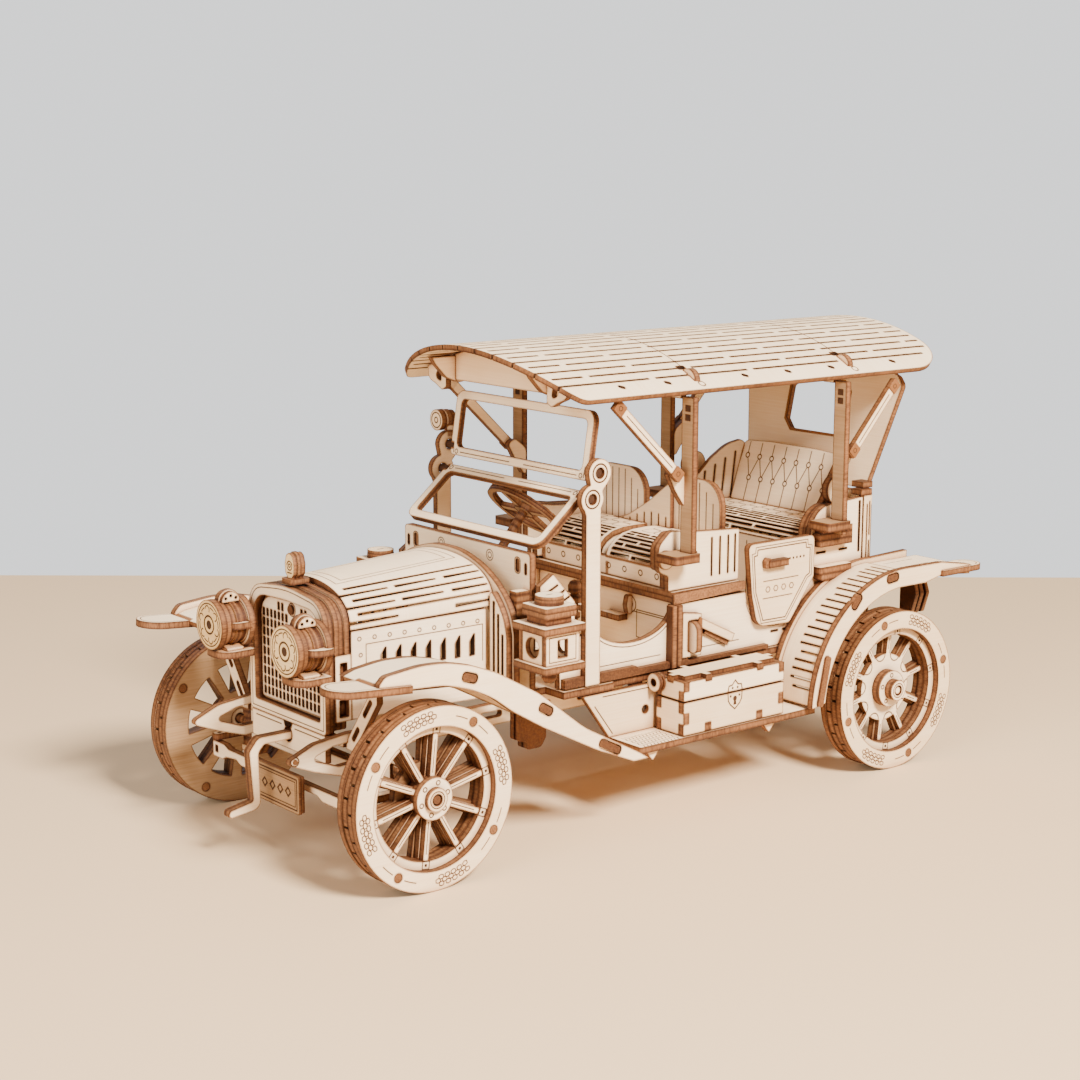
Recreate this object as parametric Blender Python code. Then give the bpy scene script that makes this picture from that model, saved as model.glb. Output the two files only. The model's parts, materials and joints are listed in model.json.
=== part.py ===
"""Wooden construction kit of an open touring car, cut from thin plywood sheet.

Frame: +X points to the car's tail, so the radiator faces -X.  The car's left side
is -Y.  +Z is up.  The origin is on the ground, under the middle of the whole car.
Lengths below are in millimetres, and x is counted from midway between the axles;
finish() shifts every node to the frame's origin, and MM turns lengths into metres.
"""
import math

import bmesh
import bpy
from mathutils import Matrix, Vector

MM = 0.001

# ---- driving dimensions (mm) ----
MIDDLE_X = 5.0               # middle of the overall length, from midway between the axles
SHEET = 2.5                  # plywood thickness
GAP = 0.3                    # air between pieces that rest on each other
WHEEL_R = 30.0
AXLE_X = 105.85              # front axle at -AXLE_X, rear axle at +AXLE_X
WHEEL_IN = 53.8              # inner face of a wheel, from the centre plane
WHEEL_OUT = 64.1             # outer face of a wheel
BORE_R = 1.8
STUB_R = 1.45
SPOKES = 10
KINGPIN_Y = 46.0
ARM_X = 119.0                # tie rod pivots, ahead of the front axle
RAIL_Y = 31.0                # outer face of a chassis rail
BODY_Y = 41.0                # outer face of a body side
FLOOR_Z = 46.2               # underside of the floor
RAD_X = -119.6               # front face of the radiator
RAD_HALF = 23.2
HOOP_X = -57.5
COWL_X = -46.5
ROOF_HALF = 51.0
ROOF_EDGE_Z = 147.9
ROOF_TOP_Z = 163.0
ROOF_FRONT = -49.4
ROOF_REAR = 145.0
ROOF_T = 2.0
LOW_PIVOT = (-25.8, 113.4)   # windshield lower frame hinge (x, z)
UP_PIVOT = (-22.6, 122.0)    # windshield upper frame hinge (x, z)
POST_Y = 41.3                # inner face of a windshield post
MID_POST_X = 13.5
REAR_POST_X = 88.8
FENDER_Y = 64.0              # outer face of a fender side plate
CRANK_Z = 39.0
STEER_AT = (-4.0, 20.5, 98.5)
STEER_TILT = 40.0            # steering column from vertical, degrees
LEVER_AT = (-22.0, -30.0, 50.0)
DOOR_HINGE_X = 47.3
DOOR_Y = 43.8                # outer face of a rear door
LID_PIVOT = (-47.4, 47.0)    # toolbox lid hinge (y, z)

LEFT, RIGHT = -1, 1
FACE_TINT = (0.86, 0.68, 0.47)
GOLD_TINT = (0.80, 0.58, 0.30)


# ---- outlines ----
def arc(cx, cy, r, start, end, steps):
    """Points along a circular arc, angles in degrees."""
    angles = [math.radians(start + (end - start) * i / steps) for i in range(steps + 1)]
    return [(cx + r * math.cos(a), cy + r * math.sin(a)) for a in angles]


def circle(cx, cy, r, steps=12):
    return arc(cx, cy, r, 0, 360, steps)[:-1]


def rounded(corners, steps=2):
    """A polygon whose corners (a, b, radius) are rounded; (a, b) stays sharp."""
    points = []
    count = len(corners)
    for i, corner in enumerate(corners):
        here = Vector(corner[:2])
        radius = corner[2] if len(corner) > 2 else 0
        if radius == 0:
            points.append(tuple(here))
            continue
        before = (Vector(corners[i - 1][:2]) - here).normalized()
        after = (Vector(corners[(i + 1) % count][:2]) - here).normalized()
        half = before.angle(after) / 2
        reach = radius / math.tan(half)
        centre = here + (before + after).normalized() * radius / math.sin(half)
        first = here + before * reach - centre
        turn = first.angle_signed(here + after * reach - centre)
        for k in range(steps + 1):
            points.append(tuple(centre + Matrix.Rotation(-turn * k / steps, 2) @ first))
    return points


def box_outline(a0, a1, b0, b1, r=0):
    return rounded([(a0, b0, r), (a1, b0, r), (a1, b1, r), (a0, b1, r)])


def slide_points(points, da, db):
    return [(a + da, b + db) for a, b in points]


# ---- solids ----
def new_object(name, bm, matrix=None):
    bm.transform(Matrix.Scale(MM, 4))
    if matrix is not None:
        bm.transform(matrix)
    bmesh.ops.recalc_face_normals(bm, faces=bm.faces)
    mesh = bpy.data.meshes.new(name)
    bm.to_mesh(mesh)
    bm.free()
    obj = bpy.data.objects.new(name, mesh)
    bpy.context.scene.collection.objects.link(obj)
    return obj


def place(axis, a, b, depth):
    """A sheet's own (a, b) coordinates and depth, in world order."""
    if axis == "x":
        return Vector((depth, a, b))
    if axis == "y":
        return Vector((a, depth, b))
    return Vector((a, b, depth))


def sheet(name, axis, low, high, outline, holes=(), matrix=None):
    """A flat cut piece: an outline with holes, extruded from low to high along axis."""
    bm = bmesh.new()
    edges = []
    for loop in [outline, *holes]:
        verts = [bm.verts.new(place(axis, a, b, low)) for a, b in loop]
        for i, vert in enumerate(verts):
            edges.append(bm.edges.new((vert, verts[(i + 1) % len(verts)])))
    bmesh.ops.triangle_fill(bm, use_beauty=True, edges=edges)
    grown = bmesh.ops.extrude_face_region(bm, geom=bm.faces[:])
    moved = [item for item in grown["geom"] if isinstance(item, bmesh.types.BMVert)]
    bmesh.ops.translate(bm, verts=moved, vec=place(axis, 0, 0, high - low))
    return new_object(name, bm, matrix)


def side_sheet(name, side, inner, outer, outline, holes=()):
    """A sheet parallel to the XZ plane, between two distances from the centre plane."""
    low, high = sorted((side * inner, side * outer))
    return sheet(name, "y", low, high, outline, holes)


def turned(name, axis, centre, profile, steps=24, side=1):
    """A solid of revolution about axis; the profile is a closed loop of (radius, height)."""
    bm = bmesh.new()
    rings = []
    for radius, height in profile:
        spin = [(0.0, 0.0)] if radius == 0 else circle(0, 0, radius, steps)
        ring = [place(axis, a, b, side * height) + Vector(centre) for a, b in spin]
        rings.append([bm.verts.new(point) for point in ring])
    pairs = zip(rings, rings[1:] + rings[:1])
    for one, two in pairs:
        if len(one) == 1 and len(two) == 1:
            continue
        for i in range(steps):
            j = (i + 1) % steps
            corners = [one[i % len(one)], one[j % len(one)], two[j % len(two)], two[i % len(two)]]
            bm.faces.new(list(dict.fromkeys(corners)))
    return new_object(name, bm)


def disc(name, axis, centre, r, low, high, steps=24, side=1):
    return turned(name, axis, centre, [(0, low), (r, low), (r, high), (0, high)], steps, side)


def block(name, x0, x1, y0, y1, z0, z1):
    y0, y1 = sorted((y0, y1))
    return sheet(name, "z", z0, z1, box_outline(x0, x1, y0, y1))


def combine(name, operation, first, others):
    """Applies one Boolean operation after another and keeps a single finished object."""
    for other in others:
        cut = first.modifiers.new(operation.lower(), "BOOLEAN")
        cut.operation = operation
        cut.solver = "EXACT"
        cut.object = other
    graph = bpy.context.evaluated_depsgraph_get()
    mesh = bpy.data.meshes.new_from_object(first.evaluated_get(graph))
    for used in [first, *others]:
        bpy.data.objects.remove(used)
    obj = bpy.data.objects.new(name, mesh)
    mesh.name = name
    bpy.context.scene.collection.objects.link(obj)
    return obj


def fuse(name, first, *others):
    return combine(name, "UNION", first, others)


def finish(obj, tint=FACE_TINT, pivot=None, smooth=False):
    """Gives a node its own material, its place in the frame and, when it moves, an origin
    on its joint's axis."""
    material = bpy.data.materials.new(obj.name + "_wood")
    material.use_nodes = True
    shader = material.node_tree.nodes["Principled BSDF"]
    shader.inputs["Base Color"].default_value = (*tint, 1)
    shader.inputs["Roughness"].default_value = 0.62
    shader.inputs["Metallic"].default_value = 0.0
    obj.data.materials.clear()
    obj.data.materials.append(material)
    if smooth:
        obj.data.shade_smooth()
        obj.data.set_sharp_from_angle(angle=math.radians(35))
    origin = Vector(pivot or (0, 0, 0)) * MM
    obj.data.transform(Matrix.Translation(-origin))
    obj.location = origin - Vector((MIDDLE_X * MM, 0, 0))
    return obj


def side_name(base, side):
    return base + ("_left" if side == LEFT else "_right")


# ---- wheels, axles and steering ----
def spoke_star():
    """Outline of ten straight spokes standing on a hub, about (0, 0)."""
    half, foot, tip = 1.1, 6.7, 20.3
    points = []
    for k in range(SPOKES):
        angle = 2 * math.pi * k / SPOKES
        gap = angle + math.pi / SPOKES
        for along, across in ((foot, -half), (tip, -half), (tip, half), (foot, half)):
            a = along * math.cos(angle) - across * math.sin(angle)
            b = along * math.sin(angle) + across * math.cos(angle)
            points.append((a, b))
        points.append((foot * math.cos(gap), foot * math.sin(gap)))
    return points


def wheel(place_name, x, side, hub_disc):
    centre = (x, 0, WHEEL_R)
    rim, recess = 23.3, 20.6
    tyre = turned(
        "tyre_" + place_name, "y", centre,
        [(WHEEL_R, WHEEL_IN), (WHEEL_R, WHEEL_OUT), (rim, WHEEL_OUT),
         (rim, WHEEL_OUT - SHEET - 0.1), (recess, WHEEL_OUT - SHEET - 0.1), (recess, WHEEL_IN)],
        28, side)
    finish(tyre, pivot=(x, side * WHEEL_OUT, WHEEL_R), smooth=True)
    star = side_sheet("star", side, 55.8, 60.9, slide_points(spoke_star(), x, WHEEL_R),
                      [circle(x, WHEEL_R, 4.4, 8)])
    hub = turned("hub", "y", centre,
                 [(BORE_R, 54.2), (6.7, 54.2), (6.7, 62.6), (3.9, 62.6), (3.9, 65.0),
                  (BORE_R, 65.0)], 12, side)
    pieces = [star, hub]
    if hub_disc:
        pieces.append(turned("web", "y", centre,
                             [(4.9, 58.3), (12.5, 58.3), (12.5, 61.4), (4.9, 61.4)], 16, side))
    spokes = fuse("spokes_" + place_name, *pieces)
    finish(spokes, pivot=(x, side * WHEEL_OUT, WHEEL_R), smooth=True)


def front_axle():
    """A beam whose ends fork above and below the kingpin barrels."""
    web, ear = 40.4, 49.2
    low, high = 20.0, 39.6
    half = [(0, 26.0), (web, 26.0), (web, low), (ear, low), (ear, low + 2.4),
            (web + 2.1, low + 2.4), (web + 2.1, high - 2.4), (ear, high - 2.4),
            (ear, high), (web, high), (web, 32.1), (0, 32.1)]
    outline = half[1:-1] + [(-a, b) for a, b in reversed(half[1:-1])]
    finish(sheet("front_axle", "x", -AXLE_X - SHEET, -AXLE_X + SHEET, outline))


def rear_axle():
    half = [(STUB_R, 64.6), (STUB_R, 52.0), (2.4, 52.0), (2.4, 5.0), (9.0, 5.0)]
    profile = [(0, 64.6)] + half + [(r, -h) for r, h in reversed(half)] + [(0, -64.6)]
    finish(turned("rear_axle", "y", (AXLE_X, 0, WHEEL_R), profile, 16), smooth=True)


def knuckle(side):
    y = side * KINGPIN_Y
    barrel = disc("barrel", "z", (-AXLE_X, y, 0), 3.2, 22.7, 36.9, 16)
    stub = disc("stub", "y", (-AXLE_X, 0, WHEEL_R), STUB_R, KINGPIN_Y - 1, 64.6, 12, side)
    arm = sheet("arm", "z", 26.6, 29.1,
                box_outline(-ARM_X - 2.4, -AXLE_X + 1, y - 1.8, y + 1.8, 1.5))
    name = side_name("knuckle", side)
    finish(fuse(name, barrel, stub, arm), pivot=(-AXLE_X, y, WHEEL_R), smooth=True)


def tie_rod():
    reach = KINGPIN_Y + 2.5
    outline = box_outline(-reach, reach, 20.2, 26.2, 1.5)
    rod = sheet("tie_rod", "x", -ARM_X - SHEET / 2, -ARM_X + SHEET / 2, outline,
                [circle(-KINGPIN_Y, 23.5, 0.8, 8), circle(KINGPIN_Y, 23.5, 0.8, 8)])
    finish(rod, pivot=(-ARM_X, 0, 23.5))


# ---- chassis ----
def chassis_frame():
    """Two rails with dumb irons and axle lugs, cross members, and fender stays."""
    outline = rounded([
        (-140.2, 39.6, 1.2), (-129, 44.4, 6), (-116, 45.9, 3), (-100, 45.6), (136, 45.6, 2),
        (136, 39, 2), (119, 38, 3), (111, 25.5, 3), (100.7, 25.5, 3), (93, 38, 3),
        (-93, 38, 3), (-98.5, 32.4), (-113.5, 32.4), (-119, 31.8, 2), (-129, 35.0, 5)], 1)
    axle_hole = circle(AXLE_X, WHEEL_R, 2.8, 10)
    pieces = [side_sheet("rail", side, RAIL_Y - SHEET, RAIL_Y, outline, [axle_hole])
              for side in (LEFT, RIGHT)]
    half = RAIL_Y - SHEET / 2
    for x in (-90, -30, 40, 128):
        pieces.append(sheet("member", "x", x, x + SHEET, box_outline(-half, half, 39.6, 44.9)))
    stay = [(-30, 40.2), (-34.5, 40.2), (-48, 58.6), (-48, 62.4), (-44, 62.4), (-30.0, 43.0)]
    outline = stay + [(-a, b) for a, b in reversed(stay)]
    pieces.append(sheet("stays", "x", -116.6, -114.1, outline))
    finish(fuse("chassis_frame", *pieces))


def floor_pan():
    wide, narrow, nose = 44.0, 41.8, 34.0
    half = [(-43, nose), (-38, nose), (-38, wide), (-16, wide), (-14, narrow), (108, narrow)]
    outline = half + [(a, -b) for a, b in reversed(half)]
    finish(sheet("floor_pan", "z", FLOOR_Z, FLOOR_Z + SHEET, outline))


def running_board(side):
    """Foot board with the sloping apron that hangs it from the floor."""
    board = block("board", -17.8, 66.8, side * 43.0, side * 60.4, 27.0, 29.6)
    apron = side_sheet("apron", side, 42.0, 44.2,
                       [(-30, 45.9), (-17, 28.0), (57, 28.0), (59.5, 45.9)],
                       [circle(-1.5, 36.8, 2.0, 8)])
    feet = [side_sheet("foot", side, 56.0, 58.5,
                       [(x - 4, 28.0), (x, 23.2), (x + 4, 28.0)]) for x in (-10.5, 45.0)]
    finish(fuse(side_name("running_board", side), board, apron, *feet))


def front_fender(side):
    """Side plate, curved mud sheet behind it, and the flat tongue in front."""
    top = [(-127.8, 70.4), (-124.4, 72.6), (-111, 73.8), (-101.5, 73.3), (-91.6, 70.9),
           (-81.8, 67.0), (-64.4, 57.2), (-45.5, 42.4), (-22, 29.9)]
    low = [(-17.0, 26.8), (-24, 26.8), (-39.8, 33.6), (-62.7, 45.4), (-75.8, 53.2),
           (-83.5, 59.0), (-91.7, 62.9), (-101.7, 66.0), (-113, 66.6), (-126, 67.2)]
    slots = [slide_points(box_outline(-2.6, 2.6, -1.0, 1.0, 0.9), a, b)
             for a, b in ((-92.4, 66.9), (-61.9, 51.4))]
    plate = side_sheet("plate", side, FENDER_Y - SHEET, FENDER_Y, top + low, slots)
    skin_top = [(a, b - 1.0) for a, b in top[2:8]]
    skin_low = [(a - 0.6, b - 2.2) for a, b in reversed(skin_top)]
    skin = side_sheet("skin", side, 42.0, FENDER_Y - SHEET + 0.4, skin_top + skin_low)
    inner = side_sheet("inner", side, 42.0, 44.5,
                       [(-111, 72.9), (-101.5, 72.4), (-82.3, 66.2), (-45.5, 41.6),
                        (-49, 39.6), (-83, 57.5), (-101.7, 64.8), (-111, 65.4)])
    reach, half = 142.8, 7.0
    middle = side * 57.0
    nose = arc(-reach + half, middle, half, 90, 270, 6)
    rise = Matrix.Translation(Vector((-110, 0, 65.2)) * MM)
    rise = rise @ Matrix.Rotation(math.radians(5.5), 4, "Y")
    rise = rise @ Matrix.Translation(Vector((110, 0, 0)) * MM)
    tongue = sheet("tongue", "z", 0, SHEET, nose + [(-110.5, middle - half), (-110.5, middle + half)],
                   matrix=rise)
    finish(fuse(side_name("front_fender", side), plate, skin, inner, tongue))


def fender_arc(r, start, end, steps):
    """Rear fender curve, centred a little above the rear axle."""
    return arc(108.5, 28.5, r, start, end, steps)


def rear_fender(side):
    """Two arched side plates, the ribbed sheet between them, and the tail tongue."""
    outer = fender_arc(47.6, 178, 88, 8)
    inner = fender_arc(40.6, 92, 176, 8)
    outline = outer + [(128.8, 75.9), (143, 72.4), (143, 69.6), (129, 71.2), (120.2, 69.2)] + inner
    slots = [slide_points(box_outline(-2.4, 2.4, -1.0, 1.0, 0.9), a, b)
             for a, b in ((104.5, 72.4), (126.0, 73.3))]
    plate = side_sheet("plate", side, FENDER_Y - SHEET, FENDER_Y, outline, slots)
    skin = side_sheet("skin", side, 44.4, FENDER_Y - SHEET + 0.4,
                      fender_arc(46.6, 177.6, 90, 8) + [(133.0, 74.8), (133.0, 72.8)]
                      + fender_arc(44.4, 90, 177.4, 8))
    back = side_sheet("back", side, 42.2, 44.7,
                      fender_arc(48.2, 177.6, 88, 7) + [(131, 77.4), (131, 72.2)]
                      + fender_arc(42.0, 88, 177.4, 7))
    reach, half = 153.6, 5.5
    middle = side * 58.6
    tongue = sheet("tongue", "z", 69.9, 72.4,
                   arc(reach - half, middle, half, -90, 90, 6)
                   + [(128.5, middle + half), (128.5, middle - half)])
    finish(fuse(side_name("rear_fender", side), plate, skin, back, tongue))


# ---- radiator and hood ----
def radiator():
    top, side_z = 89.2, 86.4
    shell = rounded([(-RAD_HALF, 43.3, 2), (RAD_HALF, 43.3, 2), (RAD_HALF, side_z, 9),
                     (0, top, 40), (-RAD_HALF, side_z, 9)])
    window = rounded([(-19.7, 47.4, 1), (19.7, 47.4, 1), (19.7, 83.2, 7), (0, 82.4),
                      (-19.7, 83.2, 7)])
    finish(sheet("radiator_shell", "x", RAD_X, RAD_X + 9.6, shell, [window]))
    grille = rounded([(-19.4, 47.7, 0.8), (19.4, 47.7, 0.8), (19.4, 82.9, 7), (0, 82.1),
                      (-19.4, 82.9, 7)])
    pitch = 4.3
    slots = [box_outline((k - 3.5) * pitch - 1.1, (k - 3.5) * pitch + 1.1, 49.6, 79.0)
             for k in range(8)]
    finish(sheet("radiator_grille", "x", RAD_X + 2.4, RAD_X + 2.4 + SHEET, grille, slots))
    cap = turned("radiator_cap", "z", (-115.4, 0, 0),
                 [(0, 89.5), (4.8, 89.5), (4.8, 91.2), (1.7, 91.6), (1.6, 92.8), (3.0, 94.8),
                  (2.7, 96.8), (1.1, 98.4), (0, 98.4)], 16)
    finish(cap, GOLD_TINT, smooth=True)


def hood_section(half, side_z, top_z, steps, inset=0.0):
    """Points across the hood's arched top, from left to right."""
    points = []
    for i in range(steps + 1):
        angle = math.pi * i / steps
        across = -math.cos(angle)
        rise = max(math.sin(angle), 0.0) ** 0.75
        points.append((across * (half - inset), side_z + (top_z - inset - side_z) * rise))
    return points


def hood_top():
    front = (RAD_X + 9.9, 23.0, 76.9, 90.6)
    rear = (HOOP_X - GAP, 27.6, 78.4, 93.2)
    bm = bmesh.new()
    steps = 14
    loops = []
    for x, half, side_z, top_z in (front, rear):
        over = hood_section(half, side_z, top_z, steps)
        under = hood_section(half, side_z, top_z, steps, 2.0)
        ring = over + under[::-1]
        loops.append([bm.verts.new((x, a, b)) for a, b in ring])
    count = len(loops[0])
    for i in range(count):
        j = (i + 1) % count
        bm.faces.new((loops[0][i], loops[0][j], loops[1][j], loops[1][i]))
    for loop in loops:
        for i in range(steps):
            bm.faces.new((loop[i], loop[i + 1], loop[count - 2 - i], loop[count - 1 - i]))
    finish(new_object("hood_top", bm), smooth=True)


def hood_side(side):
    """Louvred side, which runs outwards a little towards the cowl."""
    length = HOOP_X - GAP - (RAD_X + 9.9)
    spread = math.atan2(4.6, length)
    outline = [(0.3, 47.0), (length - 0.3, 47.0), (length - 0.3, 77.9), (0.3, 76.5)]
    louvres = []
    for k in range(7):
        a = 12.2 + k * 5.25
        louvres.append([(a, 63.2 + 0.1 * k), (a + 1.9, 63.4 + 0.1 * k), (a + 1.9, 70.6), (a, 68.4)])
    turn = Matrix.Translation(Vector((RAD_X + 9.9, side * 22.9, 0)) * MM)
    turn = turn @ Matrix.Rotation(side * spread, 4, "Z")
    low, high = (0, SHEET) if side == LEFT else (-SHEET, 0)
    panel = sheet(side_name("hood_side", side), "y", low, high, outline, louvres, turn)
    finish(panel)


def cowl_hoop():
    """Thick arch between hood and cowl, with straight legs down to the floor."""
    half = [(38.5, 49.0), (38.5, 70.0), (37.2, 76.0), (34.0, 81.0), (28.5, 86.2), (21.0, 90.6),
            (11.5, 94.0), (0, 95.4)]
    outline = half + [(-a, b) for a, b in reversed(half[:-1])]
    opening = [(26.0, 52.0), (26.0, 74.0), (19.0, 84.0), (0, 88.0), (-19.0, 84.0),
               (-26.0, 74.0), (-26.0, 52.0)]
    finish(sheet("cowl_hoop", "x", HOOP_X, HOOP_X + 5.0, outline, [opening]))


def cowl():
    front = rounded([(-36.2, 49.0), (36.2, 49.0), (36.2, 96.2, 1.5), (-36.2, 96.2, 1.5)])
    panel = sheet("panel", "x", COWL_X, COWL_X + SHEET, front)
    legs = [(-36.2, 70.0), (-32.0, 70.0), (-32.0, 84.0), (-36.2, 84.0)]
    spacers = [sheet("spacer", "x", HOOP_X + 5.3, COWL_X + 0.5, [(s * a, b) for a, b in legs])
               for s in (1, -1)]
    finish(fuse("cowl", panel, *spacers))


# ---- body ----
def body_side(side):
    """One side of the body, with the low front entry and the rear door opening."""
    entry = [(-5 + 18.5 * math.cos(a), 71.2 + 10.5 * math.sin(a))
             for a in (math.radians(200 + 16 * k) for k in range(11))]
    doorway = [(64 + 15.0 * math.cos(a), 71.2 + 13.0 * math.sin(a))
               for a in (math.radians(180 + 18 * k) for k in range(11))]
    outline = [(-37.7, 49.0), (-37.7, 66.5), (-24.0, 66.5)] + entry + doorway
    outline += [(81.6, 71.2), (81.6, 84.0), (84.5, 84.0), (87.5, 91.0), (92.0, 95.6),
                (98.5, 98.2), (109.6, 99.6), (109.6, 49.0)]
    finish(side_sheet(side_name("body_side", side), side, BODY_Y - SHEET, BODY_Y, outline))


def rear_door(side):
    outline = rounded([(DOOR_HINGE_X, 89.0, 2), (81.0, 88.9, 2), (81.0, 73.4, 2),
                       (68.8, 57.6, 2), (52.5, 58.2, 5), (DOOR_HINGE_X + 2.2, 70.0, 8)][::-1])
    panel = side_sheet("panel", side, DOOR_Y - SHEET, DOOR_Y, outline)
    handle = side_sheet("handle", side, DOOR_Y - 1.0, DOOR_Y + 2.2,
                        box_outline(55.5, 65.5, 80.6, 83.2, 1.0))
    door = fuse(side_name("rear_door", side), panel, handle)
    finish(door, pivot=(DOOR_HINGE_X, side * DOOR_Y, 73.0))


def rear_body_panel():
    """The tail of the body: one sheet bent round both rear corners."""
    outer = [(109.9, 41.0), (114.5, 40.0), (118.0, 37.0), (119.5, 33.0)]
    inner = [(117.0, 32.4), (115.8, 35.6), (113.3, 37.8), (109.9, 38.5)]
    far_outer = [(a, -b) for a, b in reversed(outer)]
    far_inner = [(a, -b) for a, b in reversed(inner)]
    outline = outer + far_outer + far_inner + inner
    finish(sheet("rear_body_panel", "z", 49.0, 100.0, outline))


def front_seat_base():
    """Seat box front board with the two-layer ledge that the seat stands on."""
    ledge = sheet("ledge", "z", 71.5, 75.6, box_outline(13.9, 46.6, -BODY_Y, BODY_Y))
    half = BODY_Y - SHEET - GAP
    board = sheet("board", "x", 17.0, 17.0 + SHEET, box_outline(-half, half, 49.0, 73.0))
    finish(fuse("front_seat_base", ledge, board))


def front_seat():
    """Bench cushion, side panels, and two round-topped backs."""
    cushion = side_sheet("cushion", RIGHT, -37.0, 37.0,
                         [(15.2, 75.9), (15.2, 82.0), (18.0, 85.5), (43.0, 88.5), (43.0, 75.9)])
    back = box_outline(-36.0, 36.0, 76.4, 97.0, 2)
    wall = sheet("wall", "x", 42.4, 44.9, back)
    pieces = [cushion, wall]
    for middle in (-20.5, 20.5):
        top = [(middle - 14.5, 92.0), (middle + 14.5, 92.0)] \
            + arc(middle + 4.5, 101.2, 10.0, 0, 90, 4) + arc(middle - 4.5, 101.2, 10.0, 90, 180, 4)
        pieces.append(sheet("round", "x", 41.9, 45.4, top))
    for side in (LEFT, RIGHT):
        arm = [(18.5, 75.9), (46.4, 75.9), (46.4, 95.2), (24.0, 94.0), (20.0, 91.5), (18.0, 87.0)]
        pieces.append(side_sheet("arm", side, 36.5, 39.8, arm))
    finish(fuse("front_seat", *pieces))


def rear_seat():
    """Bench, upright tufted back, and the two slanted wings beside it."""
    cushion = side_sheet("cushion", RIGHT, -37.8, 37.8,
                         [(82.0, 49.0), (82.0, 84.5), (85.0, 87.5), (108.5, 90.5), (108.5, 49.0)])
    lean = [(106.0, 89.6), (109.3, 89.6), (116.6, 114.2), (113.9, 114.8)]
    back = side_sheet("back", RIGHT, -27.5, 27.5, lean)
    pieces = [cushion, back]
    for side in (LEFT, RIGHT):
        wing = [(0, 89.0), (23.0, 89.0), (26.5, 114.2), (18.0, 112.0), (11.0, 106.5), (4.5, 98.6),
                (0, 97.2)]
        turn = Matrix.Translation(Vector((89.5, side * 37.8, 0)) * MM)
        turn = turn @ Matrix.Rotation(side * math.radians(-20), 4, "Z")
        low, high = (-SHEET, 0) if side == RIGHT else (0, SHEET)
        pieces.append(sheet("wing", "y", low, high, wing, matrix=turn))
    finish(fuse("rear_seat", *pieces))


def back_panel():
    """Leaning panel with a chamfered window, from the rear body up to the roof."""
    foot, rise = (120.0, 100.4), 47.0
    outline = [(-32.0, 0), (32.0, 0), (41.5, 41.0), (38.5, 44.2), (20.0, 51.5), (0, 53.4),
               (-20.0, 51.5), (-38.5, 44.2), (-41.5, 41.0)]
    window = [(-12, 18.8), (12, 18.8), (15.5, 22.5), (15.5, 35.5), (12, 39.0), (-12, 39.0),
              (-15.5, 35.5), (-15.5, 22.5)]
    lean = math.atan2(10.4, rise)
    turn = Matrix.Translation(Vector((foot[0], 0, foot[1])) * MM)
    turn = turn @ Matrix.Rotation(lean, 4, "Y")
    finish(sheet("back_panel", "x", 0, SHEET, outline, [window], turn))


# ---- windshield ----
def windshield_post(side):
    low, up = LOW_PIVOT, UP_PIVOT
    left = [(-28.6, 49.0), (-22.0, 49.0), (-22.0, 108.5)]
    outline = left + arc(*low, 5.0, -40, 30, 3) + arc(*up, 5.0, -40, 180, 8)
    outline += arc(*low, 5.0, 100, 225, 5) + [(-28.6, 108.0)]
    holes = [circle(*low, 2.0, 10), circle(*up, 2.0, 10)]
    plate = side_sheet("plate", side, POST_Y, POST_Y + SHEET, outline, holes)
    pieces = [plate]
    if side == RIGHT:
        stem = side_sheet("stem", side, POST_Y + 0.4, POST_Y + 2.1,
                          box_outline(-23.6, -20.4, 124.8, 129.5))
        lamp = turned("lamp", "x", (0, side * 45.6, 130.6),
                      [(0, -25.6), (3.8, -25.6), (3.8, -18.6), (0, -18.6)], 12)
        pieces += [stem, lamp]
    finish(fuse(side_name("windshield_post", side), *pieces))


def tilted(pivot, lean_degrees):
    """Places a frame drawn with its hinge on (0, 0): local z runs along the frame."""
    turn = Matrix.Translation(Vector((pivot[0], 0, pivot[1])) * MM)
    return turn @ Matrix.Rotation(math.radians(lean_degrees), 4, "Y")


def window_frame(name, pivot, lean, low, high, half, bar):
    outline = box_outline(-half, half, low, high, 4)
    hole = box_outline(-half + bar, half - bar, low + bar, high - bar, 2)
    frame = sheet("frame", "x", -SHEET / 2, SHEET / 2, outline, [hole], tilted(pivot, lean))
    pins = [disc("pin", "y", (pivot[0], 0, pivot[1]), 1.6, half - 2.0, POST_Y + SHEET, 12, side)
            for side in (LEFT, RIGHT)]
    obj = fuse(name, frame, *pins)
    finish(obj, pivot=(pivot[0], 0, pivot[1]))


def windshield():
    forward, down = 17.6, 14.8
    lean = 180 + math.degrees(math.atan2(forward, down))
    window_frame("windshield_lower", LOW_PIVOT, lean, -1.9, math.hypot(forward, down) + 1.0, 38.5, 3.2)
    window_frame("windshield_upper", UP_PIVOT, 9.0, -3.6, 20.4, 38.8, 3.2)


# ---- roof ----
def roof_radius():
    rise = ROOF_TOP_Z - ROOF_EDGE_Z
    return (ROOF_HALF ** 2 + rise ** 2) / (2 * rise)


def roof_z(y, drop=0.0):
    """Height of a surface parallel to the roof, drop below its outer face."""
    r = roof_radius()
    return ROOF_TOP_Z - r + math.sqrt((r - drop) ** 2 - y ** 2)


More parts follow.
